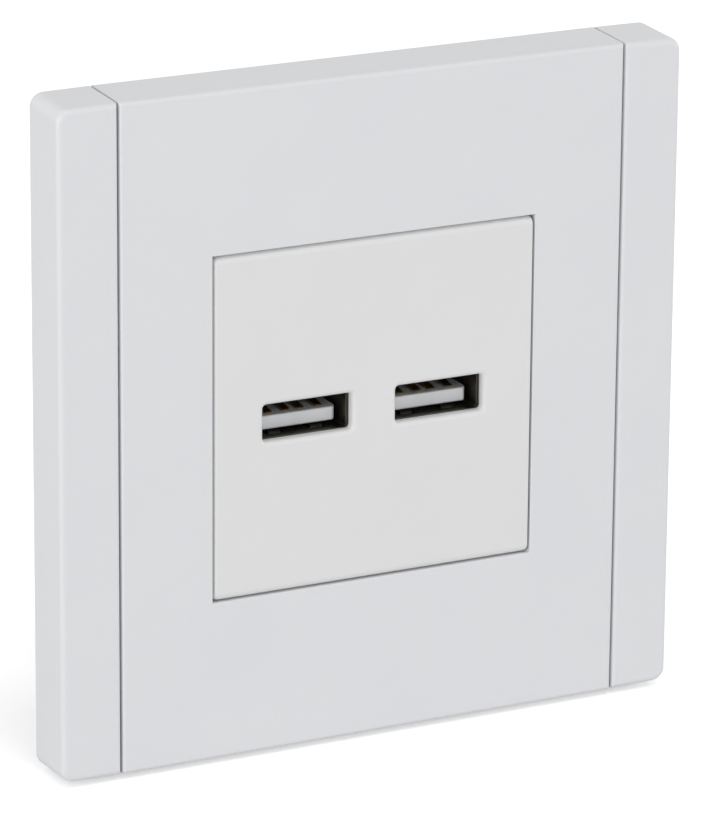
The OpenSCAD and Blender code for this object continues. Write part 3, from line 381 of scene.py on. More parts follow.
# %% [markdown]
# ## Metals
# The strap and claws are stamped from galvanised steel: zinc crystals give it pale and dark
# patches a few millimetres wide, and rolling leaves fine lines. Screws are turned and zinc
# plated, the port shells are nickel plated, the contacts carry a flash of gold, and nuts and
# busbars are brass. The shells and the contacts are tinted far darker than bright nickel and
# gold: that darkness is painted shade, so that the inside of each port comes out dark, as in the
# photograph. A metal's colour is in its reflection, so its metallic value is 1 and the default
# IOR stays; what differs is the tint, the roughness and the patches.

# %% The metals
LINE_DEPTH_MM = 0.001


def plated_metal(name, light, dark, roughness, patch_mm, line_mm, line_axis=0):
    """Plated or bare metal with patches of tone and fine drawn or turned lines."""
    material, tree, shader, place = new_material(name)
    patches = add_node(tree, "ShaderNodeTexVoronoi", {"Vector": place, "Scale": per_metre(patch_mm)},
                       feature="SMOOTH_F1")
    shade = add_node(tree, "ShaderNodeSeparateColor", {"Color": patches.outputs["Color"]})
    tone = add_node(tree, "ShaderNodeMix", {
        FACTOR: shade.outputs["Red"], COLOUR_A: hex_colour(dark), COLOUR_B: hex_colour(light)},
        data_type="RGBA")
    tree.links.new(tone.outputs[MIXED], shader.inputs["Base Color"])
    stretch = [1.0, 1.0, 1.0]
    stretch[line_axis] = 0.04  # lines 25 times as long as they are wide
    drawn = add_node(tree, "ShaderNodeMapping", {"Vector": place, "Scale": stretch})
    lines = add_node(tree, "ShaderNodeTexNoise", {
        "Vector": drawn.outputs["Vector"], "Scale": per_metre(line_mm), "Detail": 3.0})
    gloss = add_node(tree, "ShaderNodeMapRange", {
        "Value": lines.outputs["Fac"], "To Min": roughness - 0.08, "To Max": roughness + 0.08})
    tree.links.new(gloss.outputs["Result"], shader.inputs["Roughness"])
    bump = add_node(tree, "ShaderNodeBump", {
        "Height": lines.outputs["Fac"], "Distance": LINE_DEPTH_MM * MM, "Strength": 0.6})
    tree.links.new(bump.outputs["Normal"], shader.inputs["Normal"])
    set_inputs(shader, Metallic=1.0)
    return material


galvanised_steel = plated_metal("galvanised_sheet_steel", "#C4C7CA", "#A9ADB1", 0.42, 2.2, 0.25)
screw_steel = plated_metal("zinc_plated_screw_steel", "#CFD0D1", "#BDBEC0", 0.28, 1.2, 0.15, line_axis=1)
# Painted shade: the shell's nickel is tinted dark so that the inside of each port renders dark.
nickel_shell_painted_shade = plated_metal("nickel_plated_steel_painted_shade", "#77736A", "#66625A", 0.36, 1.6, 0.12, line_axis=1)
# Painted shade: the gold contacts are tinted a dull brown so that they look shaded inside the port.
contact_gold_painted_shade = plated_metal("gold_flashed_bronze_painted_shade", "#A8864F", "#8E6E3C", 0.35, 0.8, 0.08, line_axis=1)
brass = plated_metal("turned_brass", "#D3B469", "#C2A055", 0.3, 1.5, 0.12, line_axis=2)
cage_steel = plated_metal("chromated_steel", "#C9C7B4", "#B5B6A2", 0.38, 1.4, 0.2)
print("materials so far:", len(bpy.data.materials))

# %% [markdown]
# ## The materials inside the charger
# Nobody sees them on the wall, but the part can be taken apart, so each has its real look: green
# solder mask over glass weave, sintered ferrite, yellow polyester tape, black shrink sleeves,
# pale green lacquer, blue dipped epoxy and brown enamelled wire. Wire, tape and weave are Wave
# textures. The real pitches are 0.4 to 1.1 mm, and too fine to show in the render, so the bands
# are drawn about six times as wide.

# %% Patterned materials
def banded_material(name, light, dark, roughness, band_mm, axis, depth_mm):
    """A surface of even bands, such as wound wire, layers of tape or woven yarn."""
    material, tree, shader, place = new_material(name)
    # The texture turns by 20 radians in a unit, so a band is drawn 2 pi times as wide as band_mm.
    bands = add_node(tree, "ShaderNodeTexWave", {
        "Vector": place, "Scale": per_metre(band_mm) / 20, "Distortion": 0.4, "Detail": 1.0},
        wave_type="BANDS", bands_direction=axis, wave_profile="SIN")
    tone = add_node(tree, "ShaderNodeMix", {
        FACTOR: bands.outputs["Fac"], COLOUR_A: hex_colour(dark), COLOUR_B: hex_colour(light)},
        data_type="RGBA")
    tree.links.new(tone.outputs[MIXED], shader.inputs["Base Color"])
    gloss = add_node(tree, "ShaderNodeMapRange", {
        "Value": bands.outputs["Fac"], "To Min": roughness + 0.08, "To Max": roughness - 0.04})
    tree.links.new(gloss.outputs["Result"], shader.inputs["Roughness"])
    bump = add_node(tree, "ShaderNodeBump", {
        "Height": bands.outputs["Fac"], "Distance": depth_mm * MM, "Strength": 0.8})
    tree.links.new(bump.outputs["Normal"], shader.inputs["Normal"])
    set_inputs(shader, IOR=1.5, Metallic=0.0)
    return material


circuit_board = banded_material("green_solder_mask", "#1F6B3C", "#185931", 0.35, 0.45, "DIAGONAL", 0.004)
winding_tape = banded_material("yellow_polyester_tape", "#E3C437", "#CFAE26", 0.3, 1.1, "Y", 0.01)
copper_winding = banded_material("enamelled_copper_wire", "#A8562A", "#6E3316", 0.3, 0.4, "Y", 0.05)
capacitor_sleeve = moulded_plastic("shrink_sleeve_PVC", "#2B3140", "#232837", 0.3, 0.5, 0.003,
                                   speck="#3B4250")
resistor_coat = moulded_plastic("green_resistor_lacquer", "#86B7A6", "#75A795", 0.3, 0.25, 0.006,
                                cloud_mm=3)
blue_epoxy = moulded_plastic("blue_dipped_epoxy", "#3A5BA8", "#2F4E98", 0.22, 0.9, 0.01, cloud_mm=4,
                             speck="#5575BD")
ferrite = moulded_plastic("sintered_ferrite", "#47474B", "#38383B", 0.5, 0.1, 0.006, cloud_mm=3,
                          speck="#6A6A6E")
print("materials:", len(bpy.data.materials))

# %% [markdown]
# ## The cover's frame
# The frame is the middle of the cover: a shallow tray with a square window. Behind its front wall
# stand a skirt round the window, sixteen ribs that keep the wall flat, two wings that carry the
# side strips, and four hooks that snap behind the strap. A tray like this could be drawn face by
# face, but one block that is cut and joined step by step stays easy to read. The edges beside
# the grooves are rounded to 0.6 mm and those at the top and bottom to 0.5 mm: in the photograph
# they are the soft pale lines that make three pieces out of one white square.

# %% Leaning blocks and snap legs
def leaning_block(low_x, high_x):
    """A block of the cover's height and depth whose ends lean in towards the front."""
    shape = new_block((low_x, FRONT_Y, -HALF_H), (high_x, WALL_Y, HALF_H))
    for corner in shape.verts:
        if corner.co.y < FRONT_WALL_Y:
            corner.co.z -= math.copysign(EDGE_LEAN, corner.co.z)
    return shape


def snap_leg(start, catch, root, nose=0.6):
    """Side view of a leg that snaps in, as (depth, width) points: a straight arm, then a nose."""
    outer = root + RIB_WALL
    return [(start, root), (start, outer), (catch, outer), (catch, outer + nose), (catch + nose, outer + nose),
            (catch + nose + RIB_WALL, root + RIB_WALL / 2), (catch + nose + RIB_WALL, root)]


print("tray hollow", round(2 * HOLLOW_X, 2), "x", round(2 * HOLLOW_Z, 2), "mm")

# %% Cover frame
WINDOW_X, SKIRT_X, STRAP_T, STRAP_RECESS = 22.7, 23.9, 1.2, 35.6
RIB_PLACES, RIB_D, CLIP_X, CLIP_ZS, CLIP_HALF_L = (0.24, 0.64), 3.4, (STRIP_X + WING_X) / 2, (-26, 0, 26), 4
HOOK_XS, HOOK_HALF_W, HOOK_Z, PLAY = (-12, 12), 2, 25.8, 0.15
NOTCH_X, NOTCH_END_X, NOTCH_Y, NOTCH_HALF_H = 22.2, 24.4, -3.8, 3.4  # room in the skirt for a screw's head
inner = FRONT_WALL_Y - 0.5
ribs, hooks = [], []
for side in (-1, 1):
    for share in (*RIB_PLACES, -RIB_PLACES[0], -RIB_PLACES[1]):
        x, z, rib_y = share * HOLLOW_X, share * HOLLOW_Z, FRONT_WALL_Y + RIB_D
        ribs.append(new_block((x - RIB_WALL / 2, inner, side * (SKIRT_X - 0.5)),
                              (x + RIB_WALL / 2, rib_y, side * (HOLLOW_Z + 0.5))))
        ribs.append(new_block((side * (SKIRT_X - 0.5), inner, z - RIB_WALL / 2),
                              (side * (HOLLOW_X + 0.5), rib_y, z + RIB_WALL / 2)))
for x in HOOK_XS:
    outline = snap_leg(inner, PLAY, HOOK_Z)
    hook = new_prism([(x - HOOK_HALF_W, y, z) for y, z in outline], (2 * HOOK_HALF_W, 0, 0))
    hooks += [hook, mirrored(hook, 2)]
cover_frame = leaning_block(-MIDDLE_X, MIDDLE_X)
for tools, how in (
        ([new_block((-HOLLOW_X, FRONT_WALL_Y, -HOLLOW_Z), (HOLLOW_X, 1, HOLLOW_Z))], CUT),
        ([new_block((-SKIRT_X, inner, -SKIRT_X), (SKIRT_X, -STRAP_T, SKIRT_X))], JOIN),
        (ribs, JOIN),
        ([new_block((s * HOLLOW_X, FRONT_WALL_Y, -WING_Z), (s * WING_X, WALL_Y, WING_Z))
          for s in (-1, 1)], JOIN),
        ([new_block((s * MIDDLE_X, WING_BACK_Y, RIB_WALL - WING_Z),
                    (s * (WING_X - RIB_WALL), 1, WING_Z - RIB_WALL)) for s in (-1, 1)], CUT),
        ([new_block((s * (CLIP_X - 0.8), inner, z - CLIP_HALF_L - 0.2),
                    (s * (CLIP_X + 1.4), WING_BACK_Y + 0.5, z + CLIP_HALF_L + 0.2))
          for s in (-1, 1) for z in CLIP_ZS], CUT),
        ([new_block((-WINDOW_X, FRONT_Y - 1, -WINDOW_X), (WINDOW_X, 1, WINDOW_X))], CUT),
        ([new_block((-STRAP_RECESS, -STRAP_T, -STRAP_RECESS), (STRAP_RECESS, 1, STRAP_RECESS))], CUT),
        ([new_block((s * NOTCH_X, NOTCH_Y, -NOTCH_HALF_H), (s * NOTCH_END_X, 1, NOTCH_HALF_H))
          for s in (-1, 1)], CUT),
        (hooks, JOIN)):
    cover_frame = combine(cover_frame, gather(tools), how)
at_front = lambda p: p.y < FRONT_Y + 0.01
at_ends = lambda p: abs(p.z) > HALF_H - EDGE_LEAN - 0.01
at_grooves = lambda p: abs(p.x) > MIDDLE_X - 0.01
round_edges(cover_frame, 0.12, lambda p: at_front(p) and max(abs(p.x), abs(p.z)) < WINDOW_X + 0.01)
round_edges(cover_frame, 0.15, lambda p: at_ends(p) and at_grooves(p), along=1)
round_edges(cover_frame, 0.25, lambda p: at_ends(p) and abs(p.y) < 0.01, along=0)
round_edges(cover_frame, 0.5, lambda p: at_front(p) and at_ends(p), along=0)
round_edges(cover_frame, 0.6, lambda p: at_front(p) and at_grooves(p), along=2)
finish_piece("cover_frame", cover_frame, white_cover, "root", ["frame_body"], steps=6)

# %% [markdown]
# ## The side strips
# Each strip is a trim piece that snaps onto the frame's wing. It begins as one block. Its top
# and bottom lean in towards the front, its outer end is a little shorter, and its inside is
# open towards the frame. The outer corners have a radius of 1.7 mm and the front edges 0.6 to
# 0.75 mm, which catch the light as a soft line. Three clips stand on its inside.

# %% Side strips
STRIP_END_LEAN, STRIP_CORNER_R = 0.1, 1.7


def strip_shape():
    """The right strip, with its rims marked and its clips."""
    shape = leaning_block(STRIP_X, HALF_W)
    for corner in shape.verts:
        if corner.co.x > HALF_W - 1:
            corner.co.z -= math.copysign(STRIP_END_LEAN, corner.co.z)
    hollow = new_block((STRIP_X - 1, FRONT_WALL_Y, -HOLLOW_Z), (HALF_W - OUTER_WALL, 1, HOLLOW_Z))
    shape = combine(shape, hollow)
    outline = snap_leg(inner, WING_BACK_Y + PLAY, CLIP_X - RIB_WALL / 2)
    clips = [new_prism([(x, y, z - CLIP_HALF_L) for y, x in outline], (0, 0, 2 * CLIP_HALF_L))
             for z in CLIP_ZS]
    shape = combine(shape, gather(clips), JOIN)
    at_outside = lambda p: p.x > HALF_W - 0.01
    at_inside = lambda p: p.x < STRIP_X + 0.01
    corners = [e for e in shape.edges if all(at_outside(v.co) and abs(v.co.z) > HALF_H - 1 for v in e.verts)
               and abs(e.verts[0].co.y - e.verts[1].co.y) > 1]
    round_now(shape, corners, STRIP_CORNER_R, 10)
    at_rim = lambda p: (p.x > HALF_W - STRIP_CORNER_R - 0.05 and abs(p.z) > HALF_H - STRIP_CORNER_R - 0.6
                        or at_outside(p) or abs(p.z) > HALF_H - 1)
    round_edges(shape, 0.15, lambda p: at_inside(p) and at_ends(p), along=1)
    round_edges(shape, 0.3, lambda p: abs(p.y) < 0.01 and at_rim(p))
    round_edges(shape, 0.75, lambda p: at_front(p) and at_rim(p))
    round_edges(shape, 0.6, lambda p: at_front(p) and at_inside(p), along=2)
    return shape


finish_piece("side_strip_right", strip_shape(), white_cover, "root", ["right_strip"],
             steps=6)
finish_piece("side_strip_left", mirrored(strip_shape()), white_cover, "root", ["left_strip"],
             steps=6)

# %% [markdown]
# ## The centre plate
# The 45 mm plate has softly rounded edges and two ports with rounded lips. It is a block that
# is hollowed from behind, as every moulding is, with four legs that snap behind the strap.
# The ports are cut as plain rounded holes, and their front rims are marked for a 0.7 mm radius:
# that is the bright line round each port in the photograph.

# %% Centre plate
PLATE_SKIRT, PLATE_PLAY = 4.5, 0.07
PLATE_FRONT_R, PLATE_CORNER_R = 0.95, 0.7
PORT_HALF_W, PORT_HALF_H, PORT_CORNER_R, PORT_LIP_R, PORT_WALL_Y = 6.25, 2.4, 0.5, 0.7, -7.25
POCKET_HALF_W, POCKET_HALF_H, POCKET_CORNER_R = 6.7, 2.95, 0.6
LEG_X, LEG_HALF_W = 12.5, 3
plate = new_block((-PLATE_HALF, FRONT_Y, -PLATE_HALF - PLATE_PLAY),
                  (PLATE_HALF + PLATE_PLAY, FRONT_Y + PLATE_SKIRT, PLATE_HALF))
back = [f for f in plate.faces if f.calc_center_median().y > FRONT_Y + PLATE_SKIRT - 0.01]
bmesh.ops.inset_region(plate, faces=back, thickness=RIB_WALL, use_even_offset=True)
sunk = bmesh.ops.extrude_face_region(plate, geom=back)["geom"]
bmesh.ops.delete(plate, geom=back, context="FACES_ONLY")
bmesh.ops.translate(plate, vec=(0, FRONT_WALL_Y - FRONT_Y - PLATE_SKIRT, 0),
                    verts=[g for g in sunk if isinstance(g, bmesh.types.BMVert)])
bmesh.ops.recalc_face_normals(plate, faces=plate.faces)
holes = [new_block((x - PORT_HALF_W, FRONT_Y - 1, -PORT_HALF_H),
                   (x + PORT_HALF_W, FRONT_WALL_Y + 1, PORT_HALF_H), PORT_CORNER_R) for x in (-PORT_X, PORT_X)]
pockets = [new_block((x - POCKET_HALF_W, PORT_WALL_Y, -POCKET_HALF_H),
                     (x + POCKET_HALF_W, FRONT_WALL_Y + 1, POCKET_HALF_H), POCKET_CORNER_R)
           for x in (-PORT_X, PORT_X)]
legs = []
outline = snap_leg(FRONT_Y + PLATE_SKIRT - 0.5, PLAY, PLATE_HALF - RIB_WALL)
for x in (-LEG_X, LEG_X):
    leg = new_prism([(x - LEG_HALF_W, y, z) for y, z in outline], (2 * LEG_HALF_W, 0, 0))
    legs += [leg, mirrored(leg, 2)]
for tools, how in ((holes, CUT), (pockets, CUT), (legs, JOIN)):
    plate = combine(plate, gather(tools), how)
divide(plate, [(0, -PORT_X), (0, 0), (0, PORT_X), (2, 0)])
near_port = lambda p: abs(abs(p.x) - PORT_X) < PORT_HALF_W + 0.01 and abs(p.z) < PORT_HALF_H + 0.01
round_edges(plate, PLATE_FRONT_R, lambda p: at_front(p) and max(abs(p.x), abs(p.z)) > PLATE_HALF - 0.01)
round_edges(plate, PLATE_CORNER_R, lambda p: min(abs(p.x), abs(p.z)) > PLATE_HALF - 0.01)
round_edges(plate, PORT_LIP_R, lambda p: at_front(p) and near_port(p))
finish_piece("centre_plate_moulding", plate, white_plate, "root", ["centre_plate"], steps=6)

# %% [markdown]
# ## The metal shells of the ports
# A shell is a tube folded from 0.3 mm nickel plated steel. Four spring fingers are cut free in
# it and bent inwards: they grip the plug, and two of them show below the tongue. The tube is a
# block with rounded edges minus a smaller one. A finger starts as one edge that is extruded
# along its bent path, and solidify gives the strip its thickness.

# %% Port shells
SHELL_HALF_W, SHELL_HALF_H, SHELL_T, SHELL_L, TAB_L, TAB_HALF_H = 6.55, 2.86, 0.3, 13.8, 2.6, 1.2
shell_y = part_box("usb_shell_left")[0].y / MM
shell_back_y = shell_y + SHELL_L
FINGER_X, FINGER_HALF_W, FINGER_GAP = 2.95, 0.85, 0.25
finger_front_y, finger_back_y = shell_y + 1.5, shell_y + 9.4


def bent_strip(path, half_width, thickness, x):
    """A strip of sheet metal: one edge extruded along a path of (y, z) points, then thickened."""
    strip = bmesh.new()
    y, z = path[0]
    edge = strip.edges.new([strip.verts.new((x + reach, y, z)) for reach in (-half_width, half_width)])
    for (y0, z0), (y1, z1) in zip(path, path[1:]):
        grown = bmesh.ops.extrude_edge_only(strip, edges=[edge])["geom"]
        edge = next(g for g in grown if isinstance(g, bmesh.types.BMEdge)
                    and all(v in grown for v in g.verts))
        bmesh.ops.translate(strip, vec=(0, y1 - y0, z1 - z0), verts=edge.verts)
    bmesh.ops.recalc_face_normals(strip, faces=strip.faces)
    if strip.faces[:][0].normal.z > 0:
        bmesh.ops.reverse_faces(strip, faces=strip.faces)
    bmesh.ops.solidify(strip, geom=strip.faces[:], thickness=thickness)
    bmesh.ops.recalc_face_normals(strip, faces=strip.faces)
    return strip


def shell_shape(side):
    """The tube with its slots, fingers and solder tabs, moved to its port; side is -1 or 1."""
    shape = new_block((-SHELL_HALF_W, shell_y, -SHELL_HALF_H),
                      (SHELL_HALF_W, shell_back_y, SHELL_HALF_H), 2 * SHELL_T)
    bore = new_block((SHELL_T - SHELL_HALF_W, shell_y - 1, SHELL_T - SHELL_HALF_H),
                     (SHELL_HALF_W - SHELL_T, shell_back_y + 1, SHELL_HALF_H - SHELL_T), SHELL_T)
    shape = combine(shape, bore)
    slots = [new_block((x - FINGER_HALF_W - FINGER_GAP, finger_front_y - FINGER_GAP, z - 1),
                       (x + FINGER_HALF_W + FINGER_GAP, finger_back_y, z + 1))
             for x in (-FINGER_X, FINGER_X) for z in (-SHELL_HALF_H, SHELL_HALF_H)]
    shape = combine(shape, gather(slots))
    top = SHELL_HALF_H
    path = [(finger_back_y + 0.4, top), (finger_back_y, top), (finger_back_y - 2, top - 0.14),
            (finger_back_y - 4, top - 0.34), (finger_front_y + 1.2, top - 0.52),
            (finger_front_y + 0.8, top - 0.55), (finger_front_y + 0.5, top - 0.5),
            (finger_front_y + 0.2, top - 0.3), (finger_front_y, top - 0.1)]
    fingers = []
    for x in (-FINGER_X, FINGER_X):
        finger = bent_strip(path, FINGER_HALF_W, SHELL_T, x)
        fingers += [finger, mirrored(finger, 2)]
    tabs = [new_block((x - SHELL_T / 2, shell_back_y - 0.5, -TAB_HALF_H),
                      (x + SHELL_T / 2, shell_back_y + TAB_L, TAB_HALF_H))
            for x in (SHELL_T / 2 - SHELL_HALF_W, SHELL_HALF_W - SHELL_T / 2)]
    round_edges(shape, 0.08, lambda p: p.y < shell_y + 0.01)
    shape = gather([shape] + fingers + tabs)
    bmesh.ops.translate(shape, vec=(side * PORT_X, 0, 0), verts=shape.verts)
    return shape


for side, name in ((-1, "left"), (1, "right")):
    finish_piece(f"port_shell_{name}", shell_shape(side), nickel_shell_painted_shade, "root", [f"usb_shell_{name}"],
                 steps=2)

# %% [markdown]
# ## Tongues and contacts
# The tongue carries four contacts on its upper face. It is a flat bar with chamfered front
# corners and a channel for each contact, on a block that closes the shell at the back. The
# contacts are gold flashed strips whose bow stands 0.3 mm proud, so that the plug presses it.

# %% Tongues
TONGUE_HALF_W, TONGUE_T, TONGUE_DROP, CHANNEL_FIT, CONTACT_START = 5.55, 1.84, 0.11, 0.06, 1.1
CHAMFER_W, CHAMFER_L, BASE_HALF_W, BASE_HALF_H, BASE_L = 0.4, 0.6, 6.15, 2.46, 3.6
tongue_y = FRONT_Y + 3.4
CONTACT_HALF_W, CONTACT_T, CONTACT_XS = 0.5, 0.25, (-3.5, -1, 1, 3.5)


def tongue_shape(side):
    """The bar with its chamfers, channels and base, moved to its port."""
    outline = [(-TONGUE_HALF_W, shell_back_y - 0.5), (-TONGUE_HALF_W, tongue_y + CHAMFER_L),
               (CHAMFER_W - TONGUE_HALF_W, tongue_y), (TONGUE_HALF_W - CHAMFER_W, tongue_y),
               (TONGUE_HALF_W, tongue_y + CHAMFER_L), (TONGUE_HALF_W, shell_back_y - 0.5)]
    shape = new_prism([(x, y, -TONGUE_DROP - TONGUE_T) for x, y in outline], (0, 0, TONGUE_T))
    base = new_block((-BASE_HALF_W, shell_back_y - BASE_L, -BASE_HALF_H),
                     (BASE_HALF_W, shell_back_y, BASE_HALF_H), 0.3)
    shape = combine(shape, base, JOIN)
    channel_y = tongue_y + CONTACT_START - CHANNEL_FIT
    channels = [new_block((x - CONTACT_HALF_W - CHANNEL_FIT, channel_y, -TONGUE_DROP - 0.37),
                          (x + CONTACT_HALF_W + CHANNEL_FIT, shell_back_y + 1, -TONGUE_DROP + 0.15))
                for x in CONTACT_XS]
    shape = combine(shape, gather(channels))
    at_nose = lambda p: p.y < tongue_y + CHAMFER_L + 0.02
    round_edges(shape, 0.24, lambda p: at_nose(p) and p.z > -TONGUE_DROP - 0.01)
    round_edges(shape, 0.3, lambda p: at_nose(p) and p.z < -TONGUE_DROP - 1)
    round_edges(shape, 0.25, at_nose, along=2, sharper_than=20)
    bmesh.ops.translate(shape, vec=(side * PORT_X, 0, 0), verts=shape.verts)
    return shape


def contacts_shape(side):
    """Four bowed strips in their channels, with tails at the back, moved to their port."""
    low = -TONGUE_DROP - CHANNEL_FIT
    start = tongue_y + CONTACT_START
    bow = (shell_back_y - BASE_L - start) / 4
    path = [(start, low - 0.02), (start + 0.5 * bow, low + 0.14), (start + 1.0 * bow, low + 0.27),
            (start + 1.5 * bow, low + 0.3), (start + 2.0 * bow, low + 0.27), (start + 2.5 * bow, low + 0.14),
            (start + 3.0 * bow, low), (shell_back_y + 2.4, low)]
    shape = gather([bent_strip(path, CONTACT_HALF_W, CONTACT_T, x) for x in CONTACT_XS])
    bmesh.ops.translate(shape, vec=(side * PORT_X, 0, 0), verts=shape.verts)
    return shape


for side, name in ((-1, "left"), (1, "right")):
    finish_piece(f"port_tongue_{name}", tongue_shape(side), tongue_plastic, "root", [f"usb_tongue_{name}"],
                 steps=3)
    finish_piece(f"port_contacts_{name}", contacts_shape(side), contact_gold_painted_shade, "root",
                 [f"usb_contacts_{name}"])

# %% [markdown]
# ## Sheet metal and housings
# The strap, claws and cages are stamped and bent, and the housings are moulded. Their CAD shapes
# are exact, with every hole and tooth, so copies of them are the start again. What the CAD
# leaves out is the small rounding that tumbling and moulding give to every edge. It is what
# makes an edge catch the light, so all sharp edges get it here.

# %% Strap, housings, claws and cages
BOX_BACK_Y, BOX_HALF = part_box("rear_housing")[1].y / MM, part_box("rear_housing")[1].x / MM
strap = from_cad("mounting_strap")
round_edges(strap, 0.18)
finish_piece("galvanised_strap", strap, galvanised_steel, "root", ["mounting_strap"],
             steps=3)

BOX_SCREW = 14.8  # mm from the middle, both ways
FRONT_SEAMS = ([(0, x) for x in (-BOX_SCREW, -PORT_X, 0, PORT_X, BOX_SCREW)]
               + [(2, z) for z in (-BOX_SCREW, 0, BOX_SCREW)])
box_back = from_cad("rear_housing")
round_edges(box_back, 0.12, lambda p: p.y > BOX_BACK_Y - 0.01)
round_edges(box_back, 0.6, lambda p: p.y > BOX_BACK_Y - 0.01
            and (max(abs(p.x), abs(p.z)) > BOX_HALF - 0.01 or abs(p.x) + abs(p.z) > 2 * BOX_HALF - 5.1))
finish_piece("charger_box", box_back, grey_housing, "root", ["rear_housing"], steps=3)

for node, piece, material, slot, radius in (
        ("front_housing", "charger_front", white_housing, "white_housing", 0.12),
        ("claw_left", "spreading_claw_left", galvanised_steel, "zinc_plated_steel", 0.05),
        ("claw_right", "spreading_claw_right", galvanised_steel, "zinc_plated_steel", 0.05),
        ("claw_nut_left", "cross_nut_left", brass, "brass", 0.1),
        ("claw_nut_right", "cross_nut_right", brass, "brass", 0.1),
        ("claw_retainer_left", "screw_ring_left", screw_steel, "screw_steel", 0.08),
        ("claw_retainer_right", "screw_ring_right", screw_steel, "screw_steel", 0.08),
        ("claw_pin_left", "claw_axle_left", screw_steel, "screw_steel", 0.12),
        ("claw_pin_right", "claw_axle_right", screw_steel, "screw_steel", 0.12),
        ("terminal_cage_left", "rising_cage_left", cage_steel, "cage_steel", 0.1),
        ("terminal_cage_right", "rising_cage_right", cage_steel, "cage_steel", 0.1),
        ("terminal_block", "terminal_moulding", terminal_plastic, "terminal_plastic", 0.12)):
    copy = from_cad(node, FRONT_SEAMS if node == "front_housing" else ())
    round_edges(copy, radius, sharper_than=50)
    body = next(b for b, nodes in frame["record"]["behaviour"]["bodies"].items() if node in nodes)
    finish_piece(piece, copy, material, body, [node], steps=2)

# %% [markdown]
# ## Threaded screws
# Eight screws hold the charger together, drive the claws and clamp the wires. The CAD has plain
# shanks. Here each gets its real thread: one tooth of the profile is spun round the axis while
# it climbs by the pitch, which makes a helix, and two planes trim its ends. The head is a short
# rod with a rounded rim and a slot cut across it.

# %% Screws
HEAD_RIM_R, SLOT_HALF_W, SLOT_D = 0.35, 0.35, 0.8
CLAMP_HEAD_H, BOX_HEAD_H = 1.8, 1.6


def thread_shape(radius, start, end, pitch, turn_steps=20):
    """A threaded bar along Y, of the given outer radius."""
    core = radius - 0.6 * pitch
    thread = bmesh.new()
    first = start - pitch
    turns = math.ceil((end - start) / pitch) + 2
    profile = [thread.verts.new(p) for p in ((core, first, 0), (core + 0.04, first + 0.1 * pitch, 0),
                                             (radius, first + 0.5 * pitch, 0),
                                             (core + 0.04, first + 0.9 * pitch, 0), (core, first + pitch, 0))]
    edges = [thread.edges.new(pair) for pair in zip(profile, profile[1:])]
    bmesh.ops.spin(thread, geom=profile + edges, cent=(0, 0, 0), axis=(0, 1, 0), angle=2 * math.pi * turns,
                   steps=turn_steps * turns, dvec=(0, pitch / turn_steps, 0), use_merge=False)
    bmesh.ops.remove_doubles(thread, verts=thread.verts, dist=1e-4)
    for y, direction in ((start, -1), (end, 1)):
        cut = bmesh.ops.bisect_plane(thread, geom=thread.verts[:] + thread.edges[:] + thread.faces[:],
                                     plane_co=(0, y, 0), plane_no=(0, direction, 0), clear_outer=True)
        rim = [g for g in cut["geom_cut"] if isinstance(g, bmesh.types.BMEdge)]
        bmesh.ops.holes_fill(thread, edges=rim)
    bmesh.ops.recalc_face_normals(thread, faces=thread.faces)
    return thread


def slotted_screw(radius, length, cap_r, cap_h, pitch=0.5):
    """A screw along +Y from its head, whose seat is at Y = 0."""
    cap = new_rod(cap_r, (0, -cap_h, 0), (0, 0, 0))
    rim = [e for e in cap.edges if all(v.co.y < -cap_h + 0.01 for v in e.verts)]
    round_now(cap, rim, HEAD_RIM_R, 4)
    slot = new_block((-cap_r - 1, -cap_h - 1, -SLOT_HALF_W), (cap_r + 1, SLOT_D - cap_h, SLOT_HALF_W))
    cap = combine(cap, slot)
    neck = new_rod(radius - 0.3 * pitch, (0, -0.3, 0), (0, 0.8, 0), 32)
    return gather([cap, neck, thread_shape(radius, 0.7, length, pitch)])


claw_screw_x = (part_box("claw_screw_right")[0].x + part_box("claw_screw_right")[1].x) / 2 / MM
claw_tip_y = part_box("claw_screw_right")[1].y / MM
for side, name in ((-1, "left"), (1, "right")):
    screw = slotted_screw(1.5, claw_tip_y + STRAP_T, 2.3, 1.9)
    bmesh.ops.translate(screw, vec=(side * claw_screw_x, -STRAP_T, 0), verts=screw.verts)
    finish_piece(f"claw_drive_screw_{name}", screw, screw_steel, f"claw_screw_{name}",
                 [f"claw_screw_{name}"], steps=2)
    low, high = (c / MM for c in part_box(f"terminal_screw_{name}"))
    screw = slotted_screw(1.5, high.z - low.z - CLAMP_HEAD_H, 2.5, CLAMP_HEAD_H)
    bmesh.ops.rotate(screw, matrix=Matrix.Rotation(math.radians(90), 3, "X"), verts=screw.verts)
    bmesh.ops.translate(screw, vec=((low.x + high.x) / 2, (low.y + high.y) / 2, low.z + CLAMP_HEAD_H),
                        verts=screw.verts)
    finish_piece(f"clamp_screw_{name}", screw, screw_steel, f"terminal_screw_{name}",
                 [f"terminal_screw_{name}"], steps=2)

low, high = (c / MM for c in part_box("housing_screws"))
box_screws = []
for x in (-BOX_SCREW, BOX_SCREW):
    for z in (-BOX_SCREW, BOX_SCREW):
        screw = slotted_screw(1.25, high.y - low.y - BOX_HEAD_H, 2, BOX_HEAD_H, pitch=0.9)
        bmesh.ops.rotate(screw, matrix=Matrix.Rotation(math.radians(180), 3, "Z"), verts=screw.verts)
        bmesh.ops.translate(screw, vec=(x, high.y - BOX_HEAD_H, z), verts=screw.verts)
        box_screws.append(screw)
finish_piece("box_screws", gather(box_screws), screw_steel, "root", ["housing_screws"], steps=2)

# %% [markdown]
# ## The parts that stay as the CAD has them
# Boards, transformer, capacitors and the other parts inside are right as they are. They keep
# their meshes and get their materials.

